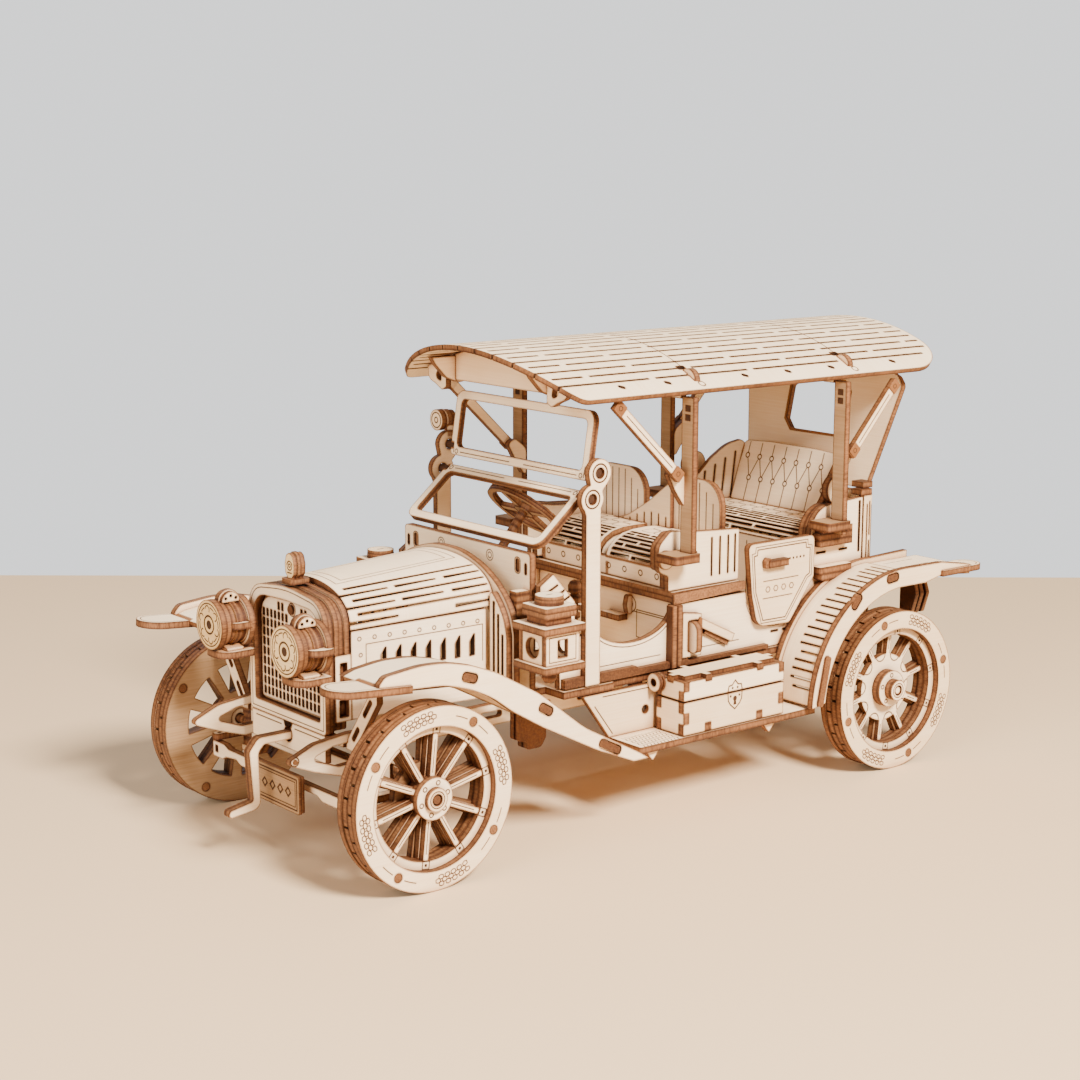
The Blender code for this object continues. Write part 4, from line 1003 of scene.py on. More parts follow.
def cushion(kit, middles, half, path, foot_z):
    """Slatted seat cushions with a bent front and side cheeks, down to foot_z."""
    view, length, folds = bent(path)
    pitch = 6.5
    for middle in middles:
        low, high = middle - half, middle + half
        slits, marks = [], []
        for row in range(7):
            a = 1.6 + 2.1 * row
            breaks = (low + 1.2, middle + (3.0, -9.0, 9.0)[row % 3], high - 1.2)
            for start, stop in zip(breaks, breaks[1:]):
                slits.append(rect(a - 0.55, a + 0.55, start + 0.7, stop - 0.7))
        size = (length - 18.0) / 2
        for k in range(int(2 * half / pitch)):
            b = low + 1.5 + k * pitch
            for start in (16.6, 16.6 + size):
                marks += stroke(rect(start, start + size - 0.6, b, b + 5.8, 1.2), 0.2, True)
        kit.plate(view, -2.0, 0.0, rect(0, length, low, high), (), marks, folds, slits)
        cheek = [(path[0][0] + 0.4, foot_z), *((a + 0.3, b - 2.1) for a, b in path), (path[-1][0], foot_z)]
        for y in (low, high - 1.6):
            kit.plate(outside, y, y + 1.6, cheek)


def front_seat_base():
    kit = Kit("front_seat_base")
    for z, start in ((71.6, 14.0), (73.7, 13.5)):
        kit.plate(above, z, z + 1.9, rect(start, 46.5, -40.7, 40.7))
    half = BODY_Y - SHEET - GAP - 0.1
    knobs = [(s * 14.5, 66.6) for s in SIDES]
    marks = [bar((-36, 64.2), (-16, 64.2), 0.25)]
    for s, knob in zip(SIDES, knobs):
        marks += ring(*knob, 3.0, 0.3, 20) + stroke(block(s * 27, 60, 9, 5), 0.25, True)
    kit.plate(front, -17.0 - SHEET, -17.0, rect(-half, half, 49.1, 71.4),
              [circle(*knob, 1.3, 14) for knob in knobs], marks)
    pull = rounded([(17.0, 69.8), (17.0, 63.4), (15.0, 62.8, 1), (14.2, 66.6, 1.5), (15.0, 70.4, 1)])
    for s in SIDES:
        kit.plate(across(s), 13.4, 15.6, pull)
        kit.box(12.6, 17.0, s * 3, s * 13, 60.4, 62.6)
    kit.done()


def front_seat():
    kit = Kit("front_seat")
    rivets = []
    for k in range(8):
        rivets += ring(-30.4 + k * 8.7, 79.4, 1.0, 0.3, 14)
    kit.plate(front, -17.6, -15.3, rect(-34.2, 34.2, 76.0, 82.6, 0.5), (), rivets)
    cushion(kit, (-18.2, 18.2), 15.7, [(15.4, 82.4), (16.6, 85.6), (19.2, 88.2), (23, 90.1), (28, 91.0),
                                       (34, 91.2), (41.0, 91.0)], 76.2)
    kit.plate(back, 42.5, 44.8, rect(-34.0, 34.0, 76.5, 87.8, 1.0))
    for middle in (-20.5, 20.5):
        corners = [(14.4, 88.5, 4), (14.4, 111.0, 9.5)]
        top = rounded([(middle + a, b, r) for a, b, r in mirrored(corners)], 9)
        lines = []
        for k in range(-3, 4):
            a = middle + k * 3.6
            lines.append(bar((a, 90.5), (a, 109.6 - 0.75 * k * k * (abs(k) > 1)), 0.35))
        kit.plate(front, -42.4, -41.3, top, (), lines)
        kit.plate(back, 42.5, 44.8, offset(top, 0.6), (), lines)
    curve = rounded([(-10.5, 77), (30.5, 77), (30.5, 88.0), (13.1, 93.0, 20), (2.0, 99.5, 30),
                     (-8, 106.8, 6), (-10.5, 108.0)], 5)
    slits = [bar((y, 86), (y, 91.6 - 0.02 * (y - 14) ** 2 + max(0.0, 13 - y) * 0.62), 0.4)
             for y in range(-8, 28, 4)]
    kit.plate(front, -41.2, -39.6, curve, slits=slits)
    arm = rounded([(12.4, 76.1), (46.3, 76.1), (46.3, 94.6), (22, 96.2, 20), (13.4, 97.6, 4), (7.6, 92.6, 5),
                   (7.8, 83.4, 2.5), (12.2, 81.4, 1)], 6)
    slits = [rect(a - 0.35, a + 0.35, 79.0, 93.0) for a in (33.0, 37.0, 41.0, 44.4)]
    for s in SIDES:
        kit.plate(across(s), 37.5, 39.8, arm, slits=slits)
        kit.plate(across(s), 34.6, 37.4, offset(arm, 0.7))
        kit.plate(across(s), 39.8, 41.0, circle(10.6, 87.6, 3.4, 24))
    kit.done()


def rear_seat():
    kit = Kit("rear_seat")
    cushion(kit, (0,), 34.8, [(82.3, 83.6), (83.4, 86.8), (86.4, 88.9), (91, 89.8), (98, 90.1),
                              (108, 90.1)], 80.0)
    kit.plate(front, -84.4, -82.1, rect(-37.6, 37.6, 49.1, 83.4), (),
              [bar((k * 7.2, 60), (k * 7.2, 81), 0.3) for k in range(-5, 6)])

    tufted = tilted((106.2, 0, 89.8), (0, 1, 0), (7.6, 0, 24.4))
    pitch = 6.7
    buttons = []
    for k in range(8):
        a = -23.4 + k * pitch
        buttons += ring(a, 18.6, 1.0, 0.35, 12)
        buttons.append(bar((a, 19.8), (a, 24.2), LINE))
        if k < 7:
            middle = a + pitch / 2
            buttons += ring(middle, 9.8, 1.0, 0.35, 12)
            buttons.append(bar((a + 0.5, 17.4), (middle - 0.35, 10.9), LINE))
            buttons.append(bar((middle + 0.35, 10.9), (a + 6.2, 17.4), LINE))
            buttons.append(bar((middle, 8.6), (middle, 0.8), LINE))
    outline = rounded(mirrored([(27.3, 0.2), (27.3, 24.6, 3), (12, 25.4, 30)]))
    kit.plate(lambda a, b, h: tufted(a, b, -h), -2.4, 0.0, outline, (), buttons)

    wing = rounded([(0, 89.1), (22.9, 89.1), (26.2, 114.0, 2), (18.0, 112.0, 14), (11.0, 106.5, 14),
                    (4.5, 98.6, 14), (0.1, 97.2, 1)], 4)
    lines = [bar((a, 91), (a * 1.09, 96.5 + a * 0.62), 0.5) for a in (4.0, 8.0, 12.0, 16.0, 20.0)]
    scroll = arc(92.2, 87.6, 10.9, 196, 88, 12)
    for s in SIDES:
        turn = Matrix.Rotation(math.radians(-20 * s), 4, "Z")

        def wing_view(a, b, h):
            spin = turn @ Vector((a, s * (h - 2.5), 0))
            return (89.5 + spin.x, s * 37.6 + spin.y, b)
        kit.plate(wing_view, 0.1, 2.4, wing, slits=lines)
        kit.plate(across(s), 35.0, 38.3, [(94.0, 84.2)] + scroll + [(95.0, 98.3)])
        kit.disc(across(s), (96.2, 103.6), 5.4, 37.2, 40.4, 32)
    kit.done()


def back_panel():
    kit = Kit("back_panel")
    view = tilted((120.0, 0, 100.5), (0, 1, 0), (10.4, 0, 47.0))
    half = [(32.0, 0), (41.3, 41.0, 3), (38.3, 44.2, 3), (20.0, 51.3, 30), (0, 53.2, 40)]
    outline = rounded(mirrored(half), 4)
    window = mirrored([(12, 18.8), (15.5, 22.5), (15.5, 35.5), (12, 39.0)])
    marks = stroke(offset(window, -1.3), 0.25, True) + [bar((-30, 2.2), (30, 2.2), 0.2)]
    kit.plate(view, 0.05, 2.4, outline, [window], marks)
    kit.plate(lambda a, b, h: view(a, b, -h), -0.3, -0.02, offset(window, -1.0), [window])
    kit.done()


# ---- windshield ----
def windshield_post(side):
    kit = Kit(named("windshield_post", side), side)
    low, up = PIVOT_LOW, PIVOT_UP
    outline = [(-28.5, 49.1), (-22.1, 49.1), (-22.1, 108.5)] + arc(*low, 4.9, -40, 30, 8)
    outline += arc(*up, 4.9, -40, 180, 20) + arc(*low, 4.9, 100, 225, 12) + [(-28.5, 108.0)]
    kit.plate(outside, POST_Y, POST_Y + SHEET - 0.05, outline, [circle(*low, 1.9, 20), circle(*up, 1.9, 20)],
              ring(*low, 3.1, 0.5, 24) + ring(*up, 3.1, 0.5, 24))
    if side == RIGHT:
        post_lamp(kit)
    kit.done()


def post_lamp(kit):
    """The small round lamp that only the right-hand post carries."""
    y, z = 45.6, 130.6
    marks = ring(y, z, 2.8, 0.35, 20) + ring(y, z, 1.0, 0.35, 12)
    kit.plate(outside, POST_Y + 0.5, POST_Y + 2.0, rect(-23.5, -20.5, 124.8, 129.0))
    for low, high, r, mats in ((18.6, 20.3, 3.4, DARK), (20.4, 22.5, 3.7, DARK),
                               (22.6, 23.4, 3.9, (FACE, FACE, BURN)), (23.5, 25.5, 3.9, PLY)):
        kit.plate(front, low, high, circle(y, z, r, 32), (), marks, mats=mats)
    kit.plate(outside, 48.8, 50.0, block(-20.4, z, 2.0, 1.8, 0.6), [circle(-20.4, z, 0.8, 12)])


def windshield():
    for side in SIDES:
        windshield_post(side)
    forward, down, tilt = 17.6, 14.8, math.radians(9)
    reach = math.hypot(forward, down) + 0.9
    window_frame("windshield_lower", PIVOT_LOW, (-forward, 0, -down), -1.8, reach, 38.4)
    window_frame("windshield_upper", PIVOT_UP, (math.sin(tilt), 0, math.cos(tilt)), -3.5, 20.3, 38.7)


def window_frame(name, pivot, lean, low, high, half):
    """A frame from low to high along lean, with a pin at each end of its pivot."""
    kit = Kit(name)
    bar_width = 3.2
    along = (0, -1, 0) if name == "windshield_lower" else (0, 1, 0)
    view = tilted((pivot[0], 0, pivot[1]), along, lean)
    outline = rounded(mirrored([(half, low, 1.5), (half, high, 4)]), 6)
    hole = rect(bar_width - half, half - bar_width, low + bar_width, high - bar_width, 2)
    marks = [bar((-33, low + 1.4), (-4, low + 1.4), 0.2), bar((4, low + 1.4), (33, low + 1.4), 0.2)]
    for s in (RIGHT, LEFT):
        marks += ring(s * 35.2, low + 1.5, 0.8, 0.22, 12)
        marks.append(bar((s * 36.8, low + 0.9), (s * 36.8, low + 2.6), 0.25))
    for flip in (1, -1):
        kit.plate(lambda a, b, h: view(a * flip, b, h * flip), 0.02, 1.2, outline, [hole], marks)
    for s in SIDES:
        # painted shade: the pins are black to stand for the shade in the posts' pivot holes
        kit.disc(across(s), pivot, 1.5, half - 1.6, POST_Y + SHEET - 0.9, 18, SHADE_BLACK)
    kit.done()


# ---- roof ----
roof_low, roof_high = span("roof_canopy")
ROOF_HALF, ROOF_TOP_Z = roof_high.y, roof_high.z
ROOF_FRONT, ROOF_REAR = roof_low.x, roof_high.x
ROOF_RISE = ROOF_TOP_Z - 147.9
ROOF_R = (ROOF_HALF ** 2 + ROOF_RISE ** 2) / (2 * ROOF_RISE)
ROOF_REACH = ROOF_R * math.asin(ROOF_HALF / ROOF_R)   # from the middle to an edge, along the arch
UNDER_ROOF = 2.35                                     # the canopy's underside below its top


def roof_z(y, drop=0.0):
    return ROOF_TOP_Z - ROOF_R + math.sqrt((ROOF_R - drop) ** 2 - y ** 2)


def over_roof(a, b, h):
    """a runs across the arch from its middle, b backwards."""
    angle = a / ROOF_R
    r = ROOF_R - 0.05 + h
    return (b, r * math.sin(angle), ROOF_TOP_Z - ROOF_R + r * math.cos(angle))


def bow(a):
    """Where the bowed front edge is at a."""
    return ROOF_FRONT + 0.1 + 13.5 * (abs(a) / ROOF_REACH) ** 2.3


def roof_slits(corner):
    """Rows of long cuts from front to rear, broken in turn like planks."""
    slits = []
    rows, first, length, skip = 21, ROOF_REACH - 8.6, 43.0, 3.0
    for k in range(rows):
        a = -first + 2 * first * k / (rows - 1)
        start = bow(a) + 2.1
        past = max(0.0, abs(a) - (ROOF_REACH - corner))
        stop = ROOF_REAR - 2.2 - corner + math.sqrt(corner ** 2 - past ** 2)
        x = start - (30.0 if min(k, rows - 1 - k) % 2 else 6.0)
        first_cut = ROOF_FRONT - 1 if k % 2 == 0 else start
        while x < stop:
            low, high = max(x, start), min(x + length, stop)
            if high - low > 4:
                slits.append(rect(a - 0.36, a + 0.36, first_cut if low == start else low, high))
            x += length + skip
    return slits


def canopy():
    corner, edge = 18.0, ROOF_REACH - 0.1
    rear = ROOF_REAR - 0.1 - corner
    fronts = [(a, bow(a)) for a in [edge * k / 12 for k in range(-11, 12)]]
    outline = arc(edge - corner, rear, corner, 0, 90, 12) + arc(corner - edge, rear, corner, 90, 180, 12)
    outline += rounded([(-edge, bow(edge) + 8), (-edge, bow(edge) + 0.5, 5)] + fronts
                       + [(edge, bow(edge) + 0.5, 5), (edge, bow(edge) + 8)], 5)
    slits = roof_slits(corner)
    for x in (-15.7, 4.9, 41.2, 62.4, 84.4, 117.0):
        slits += [slot(s * (ROOF_REACH - 5.4), x, 2.6, 1.5, 60 * s) for s in SIDES]
    clips = (18.0, 94.0)
    marks = []
    for x in clips:
        for s in SIDES:
            marks += ring(s * (ROOF_REACH - 3.2), x + 1.0, 1.3, 0.25, 14)
            slits.append(block(s * (ROOF_REACH - 13.4), x - 0.6, 1.2, 1.8))
        marks.append(rect(14 - ROOF_REACH, ROOF_REACH - 14, x - 0.12, x + 0.12))
    folds = [((k * 2.6, ROOF_FRONT - 1), (k * 2.6, ROOF_REAR + 1)) for k in range(-20, 21)]
    kit = Kit("roof_canopy")
    kit.plate(over_roof, -1.9, 0.0, outline, (), marks, folds, slits, depth=0.2)
    for x in clips:
        for s in SIDES:
            inner, outer = ROOF_REACH - 11.8, ROOF_REACH - 4.8
            hump = [(s * (inner + (outer - inner) * k / 12), 2.1 * math.sin(math.pi * k / 12) ** 0.6)
                    for k in range(13)]
            loop = hump + [(s * outer, -0.6), (s * inner, -0.6)]
            kit.plate(front, -x - 1.4, -x + 1.1, [over_roof(a, 0, h)[1:] for a, h in loop])
    kit.done()


def roof_header():
    kit = Kit("roof_header")
    under = [(y, roof_z(y, UNDER_ROOF)) for y in (27.4, 18, 9, 0, -9, -18, -27.4)]
    kit.plate(front, 28.6, 30.9, [(-27.4, 147.5), (27.4, 147.5)] + under)
    top = roof_z(28.6, UNDER_ROOF)
    rib = rounded([(-41.3, top), (-39.6, 153.4, 3), (-35.0, 148.6, 4), (-29.5, 146.4, 4), (-25.0, 147.2, 3),
                   (-20.2, top)])
    hook = rounded([(28.5, roof_z(28.5, 2.4)), (28.5, 145.0), (31.0, 143.6, 1), (34.5, 145.4, 2),
                    (39.2, 147.2, 3), (39.6, roof_z(39.6, 2.4))], 5)
    hook_hole = rounded([(31.0, 146.4, 0.8), (35.8, 148.2, 1.5), (32.0, 151.6, 1)], 4)
    for s in SIDES:
        kit.plate(across(s), 26.1, 28.4, rib)
        kit.plate(lambda a, b, h: (-h, s * a, b), 31.2, 33.4, hook, [hook_hole])
    kit.done()


def roof_bow(name, x):
    kit = Kit(name)
    half, end_z = 43.8, 144.3
    inner = [(y, roof_z(y, 7.4)) for y in range(-34, 35, 4)]
    outer = [(y, roof_z(y, UNDER_ROOF)) for y in [half - 2 * half * k / 24 for k in range(25)]]
    outline = [(-half, end_z), (5.0 - half, end_z)] + inner + [(half - 5.0, end_z), (half, end_z)] + outer
    kit.plate(front, -x - SHEET + 0.05, -x, outline, (),
              [rect(y - 2.4, y + 2.4, roof_z(y, 5.2), roof_z(y, 4.9)) for y in range(-30, 31, 12)])
    kit.done()


def roof_post(base, side, x, lean):
    """A post under a roof bow, with a brace and a knee that lean forwards (-1) or backwards (1)."""
    kit = Kit(named(base, side), side)
    foot_z, outer = 88.5, 50.1
    top = roof_z(outer, 2.3) - 0.6
    kit.plate(front, -x - SHEET + 0.05, -x - 0.05, rect(44.3, outer, foot_z, top, 0.4), (),
              [rect(46.0, 48.6, z, z + 2.2) for z in (137.0, 140.2)])
    shelf = rounded([(x - 8.2, 41.4), (x + 5.6, 41.4), (x + 5.6, 47.6, 1), (x + 3.6, 48.2),
                     (x + 3.6, 51.4, 1), (x - 8.2, 51.4, 1.5)])
    shelf_z = foot_z if lean < 0 else foot_z + 3.0
    kit.plate(above, shelf_z - 0.8, shelf_z + 2.4, shelf)
    # painted shade: the post, with its shelf, takes the toasted faces to stand for the shade on its faces
    kit.done("toasted_ply")

    kit = Kit(named(base, side), side, "_brace")
    centre = x + SHEET / 2
    start = Vector((centre + lean * 4.4, 117.4))
    end = Vector((centre - 34.0, 145.2) if lean < 0 else (centre + 28.0, 143.0))
    run = (end - start).normalized()
    kit.plate(outside, 46.0, 48.2, bar(start, end, 3.6), (), [bar(start + run * 6, end - run * 6, 0.25)])
    tilt = math.degrees(math.atan2(run.y, run.x))
    for at in (end - run * 2.0, start + run * 2.6):
        head = turned_points(block(at.x, at.y, 2.2, 2.1, 0.5), tilt, at.x, at.y)
        kit.plate(outside, 46.6, 48.5, head, (), ring(at.x, at.y, 0.8, 0.25, 12))
    knee = [(0, 107.0), (1.4, 107.4, 0.8), (5.2, 112.8, 9), (8.8, 119.2, 1.5), (5.4, 121.0, 1.5),
            (0, 117.0, 4)]
    knee = [(centre + lean * p[0], *p[1:]) for p in knee]
    kit.plate(outside, 43.4, 45.9, rounded(knee[::lean], 5))
    kit.done()


# ---- fittings ----
def fingers(a0, a1, b0, b1, steps, along, notches=()):
    """A rectangle whose upright edges are notched for finger joints, with notches in its top."""
    points = []
    cell = (b1 - b0) / steps
    for k in range(steps):
        inset = SHEET if (k + along) % 2 else 0
        points += [(a1 - inset, b0 + k * cell), (a1 - inset, b0 + (k + 1) * cell)]
    for a in sorted(notches, reverse=True):
        points += [(a + 1.5, b1), (a + 1.5, b1 - 1.0), (a - 1.5, b1 - 1.0), (a - 1.5, b1)]
    for k in reversed(range(steps)):
        inset = SHEET if (k + along) % 2 else 0
        points += [(a0 + inset, b0 + (k + 1) * cell), (a0 + inset, b0 + k * cell)]
    return points


def tab(at, edge, tip):
    return [(at - 1.35, edge), (at - 1.35, tip), (at + 1.35, tip), (at + 1.35, edge)]


def toolbox():
    box_low, box_high = span("toolbox")
    x0, x1, y0, y1 = box_low.x, box_high.x, -box_high.y, -box_low.y
    a0, a1, b0, b1 = x0 + SHEET, x1 - SHEET, y0 + SHEET, y1 - SHEET
    split, tabs, end_tab, middle = 41.6, (13.6, 38.4), 53.0, 26.3

    def crest(half, dots, dot_z):
        """Half a plain shield that box and lid share, with two dots."""
        outline = [(middle + a, b) for a, b in mirrored(half)]
        return stroke(outline, 0.35), [circle(middle + s * dots, dot_z, 0.4, 8) for s in SIDES]

    shield, dots = crest([(-3.4, 41.4), (-3.2, 38.9), (-2.2, 37.4), (0, 35.6)], 2.1, 40.4)
    keyhole = [(middle + a, b) for a, b in mirrored([(0.35, 39.0), (0.7, 37.2)])]
    lower = shield + [circle(middle, 39.4, 0.9, 12), keyhole] + dots
    shield, dots = crest([(-3.4, 42.3), (-3.0, 44.2), (-1.4, 44.4), (0, 46.0)], 1.2, 43.3)
    upper = shield + dots
    for node, low, high, steps, marks in (("toolbox", 30.0, split, 3, lower),
                                          ("toolbox_lid", split + 0.6, 48.8, 2, upper)):
        kit = Kit(node, LEFT)
        lid = node == "toolbox_lid"
        long_side = fingers(x0, x1, low, high, steps, 0, tabs if lid else ())
        short_side = fingers(y0, y1, low, high, steps, 1, (end_tab,) if lid else ())
        kit.plate(outside, b1, y1, long_side, (), marks)
        kit.plate(across(LEFT), -b0, -y0, long_side)
        kit.plate(front, -a0, -x0, short_side)
        kit.plate(back, a1, x1, short_side)
        if lid:
            top = [(a0, b0)] + tab(tabs[0], b0, y0 + 0.02) + tab(tabs[1], b0, y0 + 0.02)
            top += [(a1, b0)] + [(q, p) for p, q in tab(end_tab, a1, x1 - 0.02)] + [(a1, b1)]
            top += tab(tabs[1], b1, y1 + 0.1)[::-1] + tab(tabs[0], b1, y1 + 0.1)[::-1]
            top += [(a0, b1)] + [(q, p) for p, q in tab(end_tab, a0, x0 - 0.02)][::-1]
            kit.plate(above, 47.85, 50.3, top)
            for r, h0, h1 in ((3.3, -0.4, 0.6), (3.3, -2.6, -1.4), (2.5, -1.4, -0.4)):
                h0, h1 = x0 + h0, x0 + h1
                kit.lathe(back, (47.2, 46.8), [(1.4, h0), (r, h0), (r, h1), (1.4, h1)], 28)
        else:
            kit.box(a0 + 0.02, a1 - 0.02, b0 + 0.02, b1 - 0.02, low + 0.1, low + SHEET)
            for a in tabs:
                kit.box(a - 1.4, a + 1.4, y1 - 0.6, y1 + 0.06, low + 0.02, low + 3.0, mats=DARK)
        kit.done()


def headlamp(side):
    y, z = 23.4, 73.8
    kit = Kit(named("headlamp", side), side)
    marks = ring(y, z, 7.2, 0.3, 32) + ring(y, z, 3.0, 0.55, 20) + [circle(y, z, 1.5, 12)]
    for k in range(6):
        petal = polar(5.1, 60 * k + 20, y, z)
        marks += stroke(arc(*petal, 1.35, 60 * k - 60, 60 * k + 150, 7), 0.3)
        marks += stroke(arc(y, z, 6.0, 60 * k + 38, 60 * k + 62, 3), 0.3)
    kit.plate(front, 132.5, 134.75, circle(y, z, 8.4, 48), (), marks)
    for k, r in enumerate((7.4, 6.9, 7.4, 6.9)):
        kit.disc(front, (y, z), r, 130.5 - k * 2.05, 132.4 - k * 2.05, 40)
    kit.done("golden_ply")

    kit = Kit(named("headlamp", side), side, "_trim")
    kit.plate(front, 122.1, 124.2, circle(y, z, 8.8, 48), (), ring(y, z, 7.6, 0.25, 28))
    collar = rounded([(-130.6, y - 8.4, 3), (-121.6, y - 8.9, 2), (-121.6, y + 10.2, 2.5),
                      (-126.5, y + 10.2, 3), (-130.6, y + 8.4, 3)], 5)
    kit.plate(above, z - 1.1, z + 1.1, collar)
    shelf = rounded([(-133.9, y - 6.8, 5), (-121.1, y - 6.8, 1), (-121.1, y + 6.8, 1),
                     (-133.9, y + 6.8, 5)], 6)
    kit.plate(above, 62.7, 65.0, shelf, (), ring(-127.5, y + 4.6, 0.8, 0.25, 12))
    kit.box(-131.6, -123.4, y - 1.4, y + 1.4, 65.0, 67.6)
    saddle = mirrored([(5.0, 65.05), (5.0, 65.9, 0.4), (0, 66.8, 6)])
    kit.plate(front, 124.6, 131.0, rounded([(y + p[0], *p[1:]) for p in saddle]), mats=(FACE, FACE, BURN))
    kit.box(-123.9, -120.0, y - 3.3, y - 0.5, 62.8, 66.1, mats=DARK)
    x = -127.6
    dots = [circle(x + d, z + rise, 0.5, 8) for d, rise in ((-1.9, 8.5), (0, 9.3), (1.9, 8.5))]
    for low, high, r in ((-2.4, -0.9, 3.5), (-0.8, 0.8, 4.1), (0.9, 2.4, 3.5)):
        kit.plate(lambda a, b, h: (a, y + h, b), low, high, arc(x, z + 7.2, r, 0, 180, 14), slits=dots)
    kit.done()


def lantern(side):
    kit = Kit(named("lantern", side), side)
    x, y, half = -48.5, 48.9, 7.1
    for size, low, high, r in ((8.6, 60.2, 62.6, 0.6), (8.8, 73.3, 75.7, 0.6), (5.4, 75.8, 78.0, 0.6),
                               (6.6, 78.1, 79.9, 0.8), (6.6, 80.0, 81.8, 0.8)):
        kit.plate(above, low, high, block(x, y, size, size, r))
    for s in (1, -1):
        border = stroke(rect(x - 5.6, x + 5.6, 63.8, 72.1), 0.2, True)
        kit.plate(lambda a, b, h: (a, y + s * h, b), half - 1.8, half, block(x, 67.95, half, 5.25),
                  [rect(x - 2.1, x + 2.1, 64.9, 71.0)], border)
        kit.plate(lambda a, b, h: (x + s * h, a, b), half - 1.8, half, block(y, 67.95, half - 1.9, 5.25),
                  [circle(y, 67.9, 3.5, 28)])
    kit.disc(above, (x, y), 4.9, 81.9, 83.6, 32)
    kit.plate(above, 83.6, 84.9, circle(x, y, 4.8, 32), (), [bar((x - 1.3, y), (x + 1.3, y), 0.5)])
    kit.lathe(above, (x, y), [(0, 54.7), (1.6, 55.2), (2.5, 56.6), (2.5, 58.0), (1.6, 59.4), (2.5, 59.5),
                              (2.5, 60.1), (0, 60.1)], 20)
    kit.done()


def steering_wheel():
    kit = Kit("steering_wheel")
    tilt = math.radians(40)
    view = tilted(PIVOTS["steering_turn"], (math.cos(tilt), 0, -math.sin(tilt)), (0, 1, 0))
    hole = circle(0, 0, 12.8, 48)
    grip = []
    for k in range(24):
        grip += arc(0, 0, 15.3, 15 * k + 1, 15 * k + 8, 2) + arc(0, 0, 14.9, 15 * k + 9, 15 * k + 14, 2)
    kit.plate(view, 0.1, 1.2, grip, [hole])
    kit.plate(view, -1.1, 0.0, circle(0, 0, 15.3, 72), [hole])
    arm, line = [(3.2, -1.2), (13.0, -1.2), (13.0, 1.2), (3.2, 1.2)], bar((5, 0), (11, 0), 0.3)
    for turn in (0, 90, 180, 270):
        kit.plate(view, -0.9, 1.0, turned_points(arm, turn), (), [turned_points(line, turn)])
    kit.plate(view, -1.0, 1.1, circle(0, 0, 3.9, 32))
    kit.plate(view, 1.1, 2.1, circle(0, 0, 2.6, 28), (), ring(0, 0, 1.3, 0.2, 14))
    kit.lathe(view, (0, 0), [(0, -47.9), (1.7, -47.9), (1.7, -1.0), (0, -1.0)], 20, mats=DARK)
    kit.done("toasted_ply")


def hand_crank():
    z = PIVOTS["crank_spin"].z
    kit = Kit("hand_crank")
    outline = rounded([(-117.3, z - 1.3), (-117.3, z + 1.3), (-132.0, z + 1.3, 3), (-135.5, z - 3.0, 2),
                       (-134.3, 19.2, 1), (-143.3, 17.4, 1.2), (-143.7, 14.9, 1.0), (-131.5, 16.4, 3),
                       (-132.1, z - 3.6, 3), (-129.8, z - 1.3, 1)], 6)
    kit.plate(outside, -1.75, 1.75, outline)
    kit.done()


def number_plate():
    """A plate with a border and a row of rings in place of letters."""
    kit = Kit("number_plate")
    z = 22.8
    marks = stroke(block(0, z, 14.9, 5.2), 0.4, True) + stroke(block(0, z, 13.9, 4.2), 0.2, True)
    for k in range(-2, 3):
        marks += ring(k * 4.8, z, 1.5, 0.5, 4)
    kit.plate(front, 124.9, 125.95, block(0, z, 16.3, 6.5, 0.7), (), marks)
    kit.plate(front, 123.6, 124.8, block(0, z, 15.9, 6.2, 0.5))
    kit.done("toasted_ply")


def hand_lever():
    kit = Kit("hand_lever")
    profile = [(0, 49.2), (1.2, 49.2), (1.2, 69.6), (2.0, 70.0), (2.0, 71.6), (1.2, 72.0), (1.2, 75.0),
               (2.7, 75.4), (2.7, 77.4), (1.3, 78.2), (2.3, 79.2), (2.4, 81.2), (1.7, 82.6), (0, 83.3)]
    kit.lathe(above, PIVOTS["hand_lever_tilt"].xy, profile, 24, mats=DARK)
    kit.done()


# ---- the whole kit ----
def build():
    axle_sheets()
    chassis()
    radiator()
    hood()
    cowl()
    tail()
    front_seat_base()
    front_seat()
    rear_seat()
    back_panel()
    windshield()
    canopy()
    roof_header()
    roof_bow("roof_bow_mid", MID_BOW_X)
    roof_bow("roof_bow_rear", REAR_BOW_X)
    toolbox()
    steering_wheel()
    hand_crank()
    number_plate()
    hand_lever()
    for side in SIDES:
        for end in ("front", "rear"):
            tyre(end, side)
            spokes(end, side)
        hood_side(side)
        running_board(side)
        front_fender(side)
        rear_fender(side)
        body_side(side)
        rear_door(side)
        roof_post("mid_post", side, MID_BOW_X, -1)
        roof_post("rear_post", side, REAR_BOW_X, 1)
        headlamp(side)
        lantern(side)


# ---- stage, light and camera ----
EYE = Vector((-474.66 - MIDDLE_X, -575.95, 234.61)) * MM
AZIMUTH, ELEVATION, ROLL = math.radians(-38.696), math.radians(10.980), math.radians(0.125)
AHEAD = Vector((-math.sin(AZIMUTH), math.cos(AZIMUTH), 0))
ACROSS = Vector((math.cos(AZIMUTH), math.sin(AZIMUTH), 0))


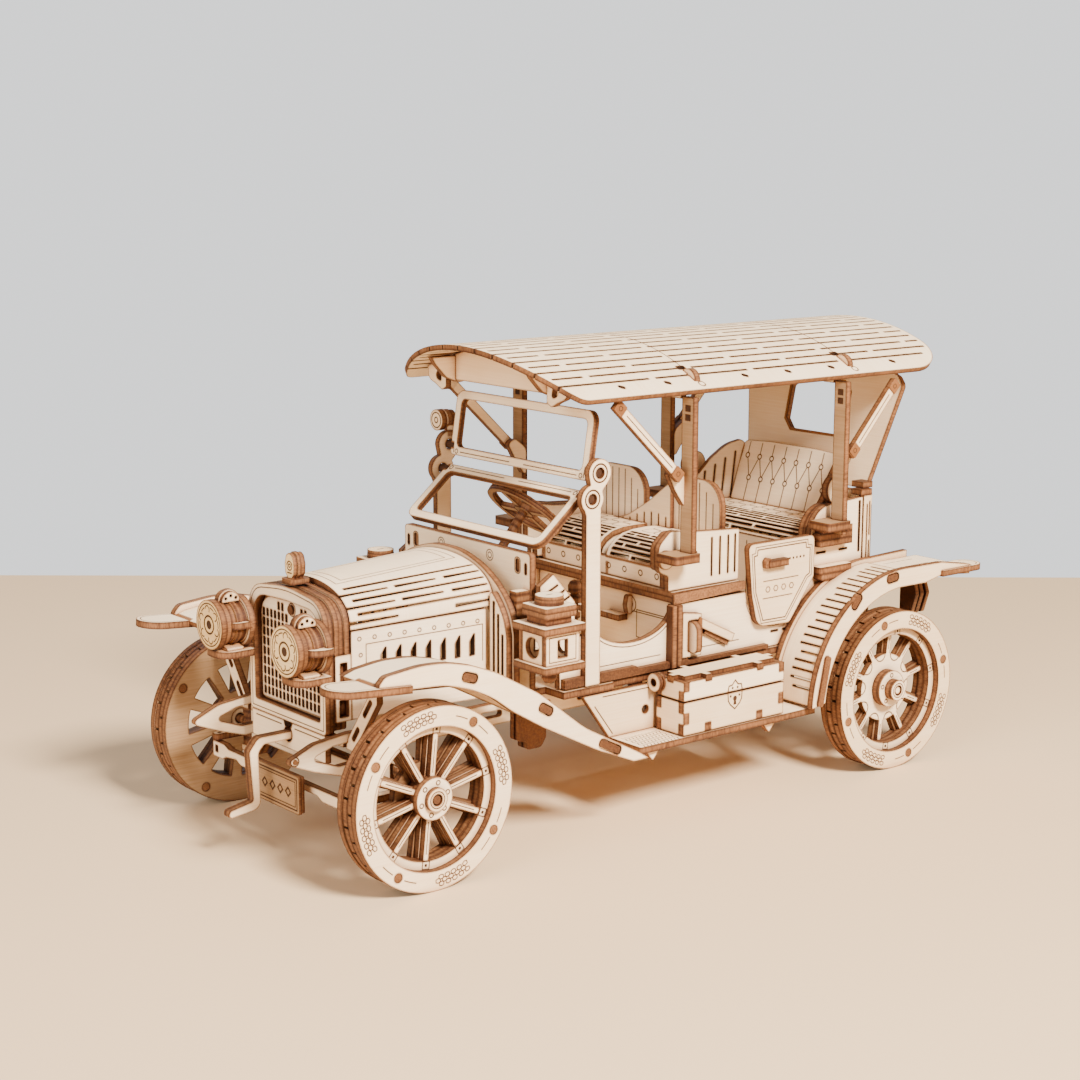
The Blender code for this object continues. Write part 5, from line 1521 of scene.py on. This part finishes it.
def table():
    """A slab whose far edge, level in the view, is the horizon."""
    near, far, half = -1.2, 1.107, 2.4
    places = (near, -half), (near, half), (far, half), (far, -half)
    corners = [EYE + AHEAD * distance + ACROSS * width for distance, width in places]
    mesh = bpy.data.meshes.new("table_top")
    mesh.from_pydata([(c.x, c.y, z) for z in (0.0, -0.03) for c in corners], [],
                     [(0, 1, 2, 3), (7, 6, 5, 4), (0, 4, 5, 1), (1, 5, 6, 2), (2, 6, 7, 3), (3, 7, 4, 0)])
    material = bpy.data.materials.new("pale_table")
    material.use_nodes = True
    shader = material.node_tree.nodes["Principled BSDF"]
    shader.inputs["Base Color"].default_value = (0.76, 0.53, 0.31, 1)
    shader.inputs["Roughness"].default_value = 0.75
    mesh.materials.append(material)
    link("table_top", mesh)


def studio():
    """Soft light all round, and a plain bright wall that only the camera sees."""
    world = bpy.data.worlds.new("studio")
    world.use_nodes = True
    nodes, links = world.node_tree.nodes, world.node_tree.links
    around, wall = nodes["Background"], nodes.new("ShaderNodeBackground")
    around.inputs["Color"].default_value = (0.86, 0.83, 0.80, 1)
    around.inputs["Strength"].default_value = 0.30
    wall.inputs["Color"].default_value = (0.83, 0.84, 0.85, 1)
    wall.inputs["Strength"].default_value = 1.6
    rays = nodes.new("ShaderNodeLightPath")
    mix = nodes.new("ShaderNodeMixShader")
    links.new(rays.outputs["Is Camera Ray"], mix.inputs[0])
    links.new(around.outputs["Background"], mix.inputs[1])
    links.new(wall.outputs["Background"], mix.inputs[2])
    links.new(mix.outputs["Shader"], nodes["World Output"].inputs["Surface"])
    bpy.context.scene.world = world

    target = Vector((0, 0, 0.06))
    for name, place, power, size, tint in (("key", (-0.12, -1.15, 1.0), 78, 0.34, (1.0, 0.95, 0.88)),
                                           ("fill", (-1.25, -0.35, 0.55), 17, 0.8, (1.0, 0.97, 0.94)),
                                           ("rim", (0.3, 1.2, 0.9), 5, 0.8, (0.96, 0.98, 1.0))):
        data = bpy.data.lights.new(name, "AREA")
        data.energy, data.size, data.color = power, size, tint
        lamp = link(name, data)
        lamp.location = place
        lamp.rotation_euler = (target - lamp.location).to_track_quat("-Z", "Y").to_euler()


def camera():
    data = bpy.data.cameras.new("photo_view")
    data.sensor_width, data.lens, data.clip_start = 36.0, 70.41, 0.01
    backwards = Vector((0, 0, math.sin(ELEVATION))) - AHEAD * math.cos(ELEVATION)
    level_up = backwards.cross(ACROSS)
    right = ACROSS * math.cos(ROLL) + level_up * math.sin(ROLL)
    up = level_up * math.cos(ROLL) - ACROSS * math.sin(ROLL)
    turn = Matrix((right, up, backwards)).transposed().to_4x4()
    view = link("photo_view", data)
    view.matrix_world = Matrix.Translation(EYE) @ turn
    bpy.context.scene.camera = view


build()
table()
studio()
camera()
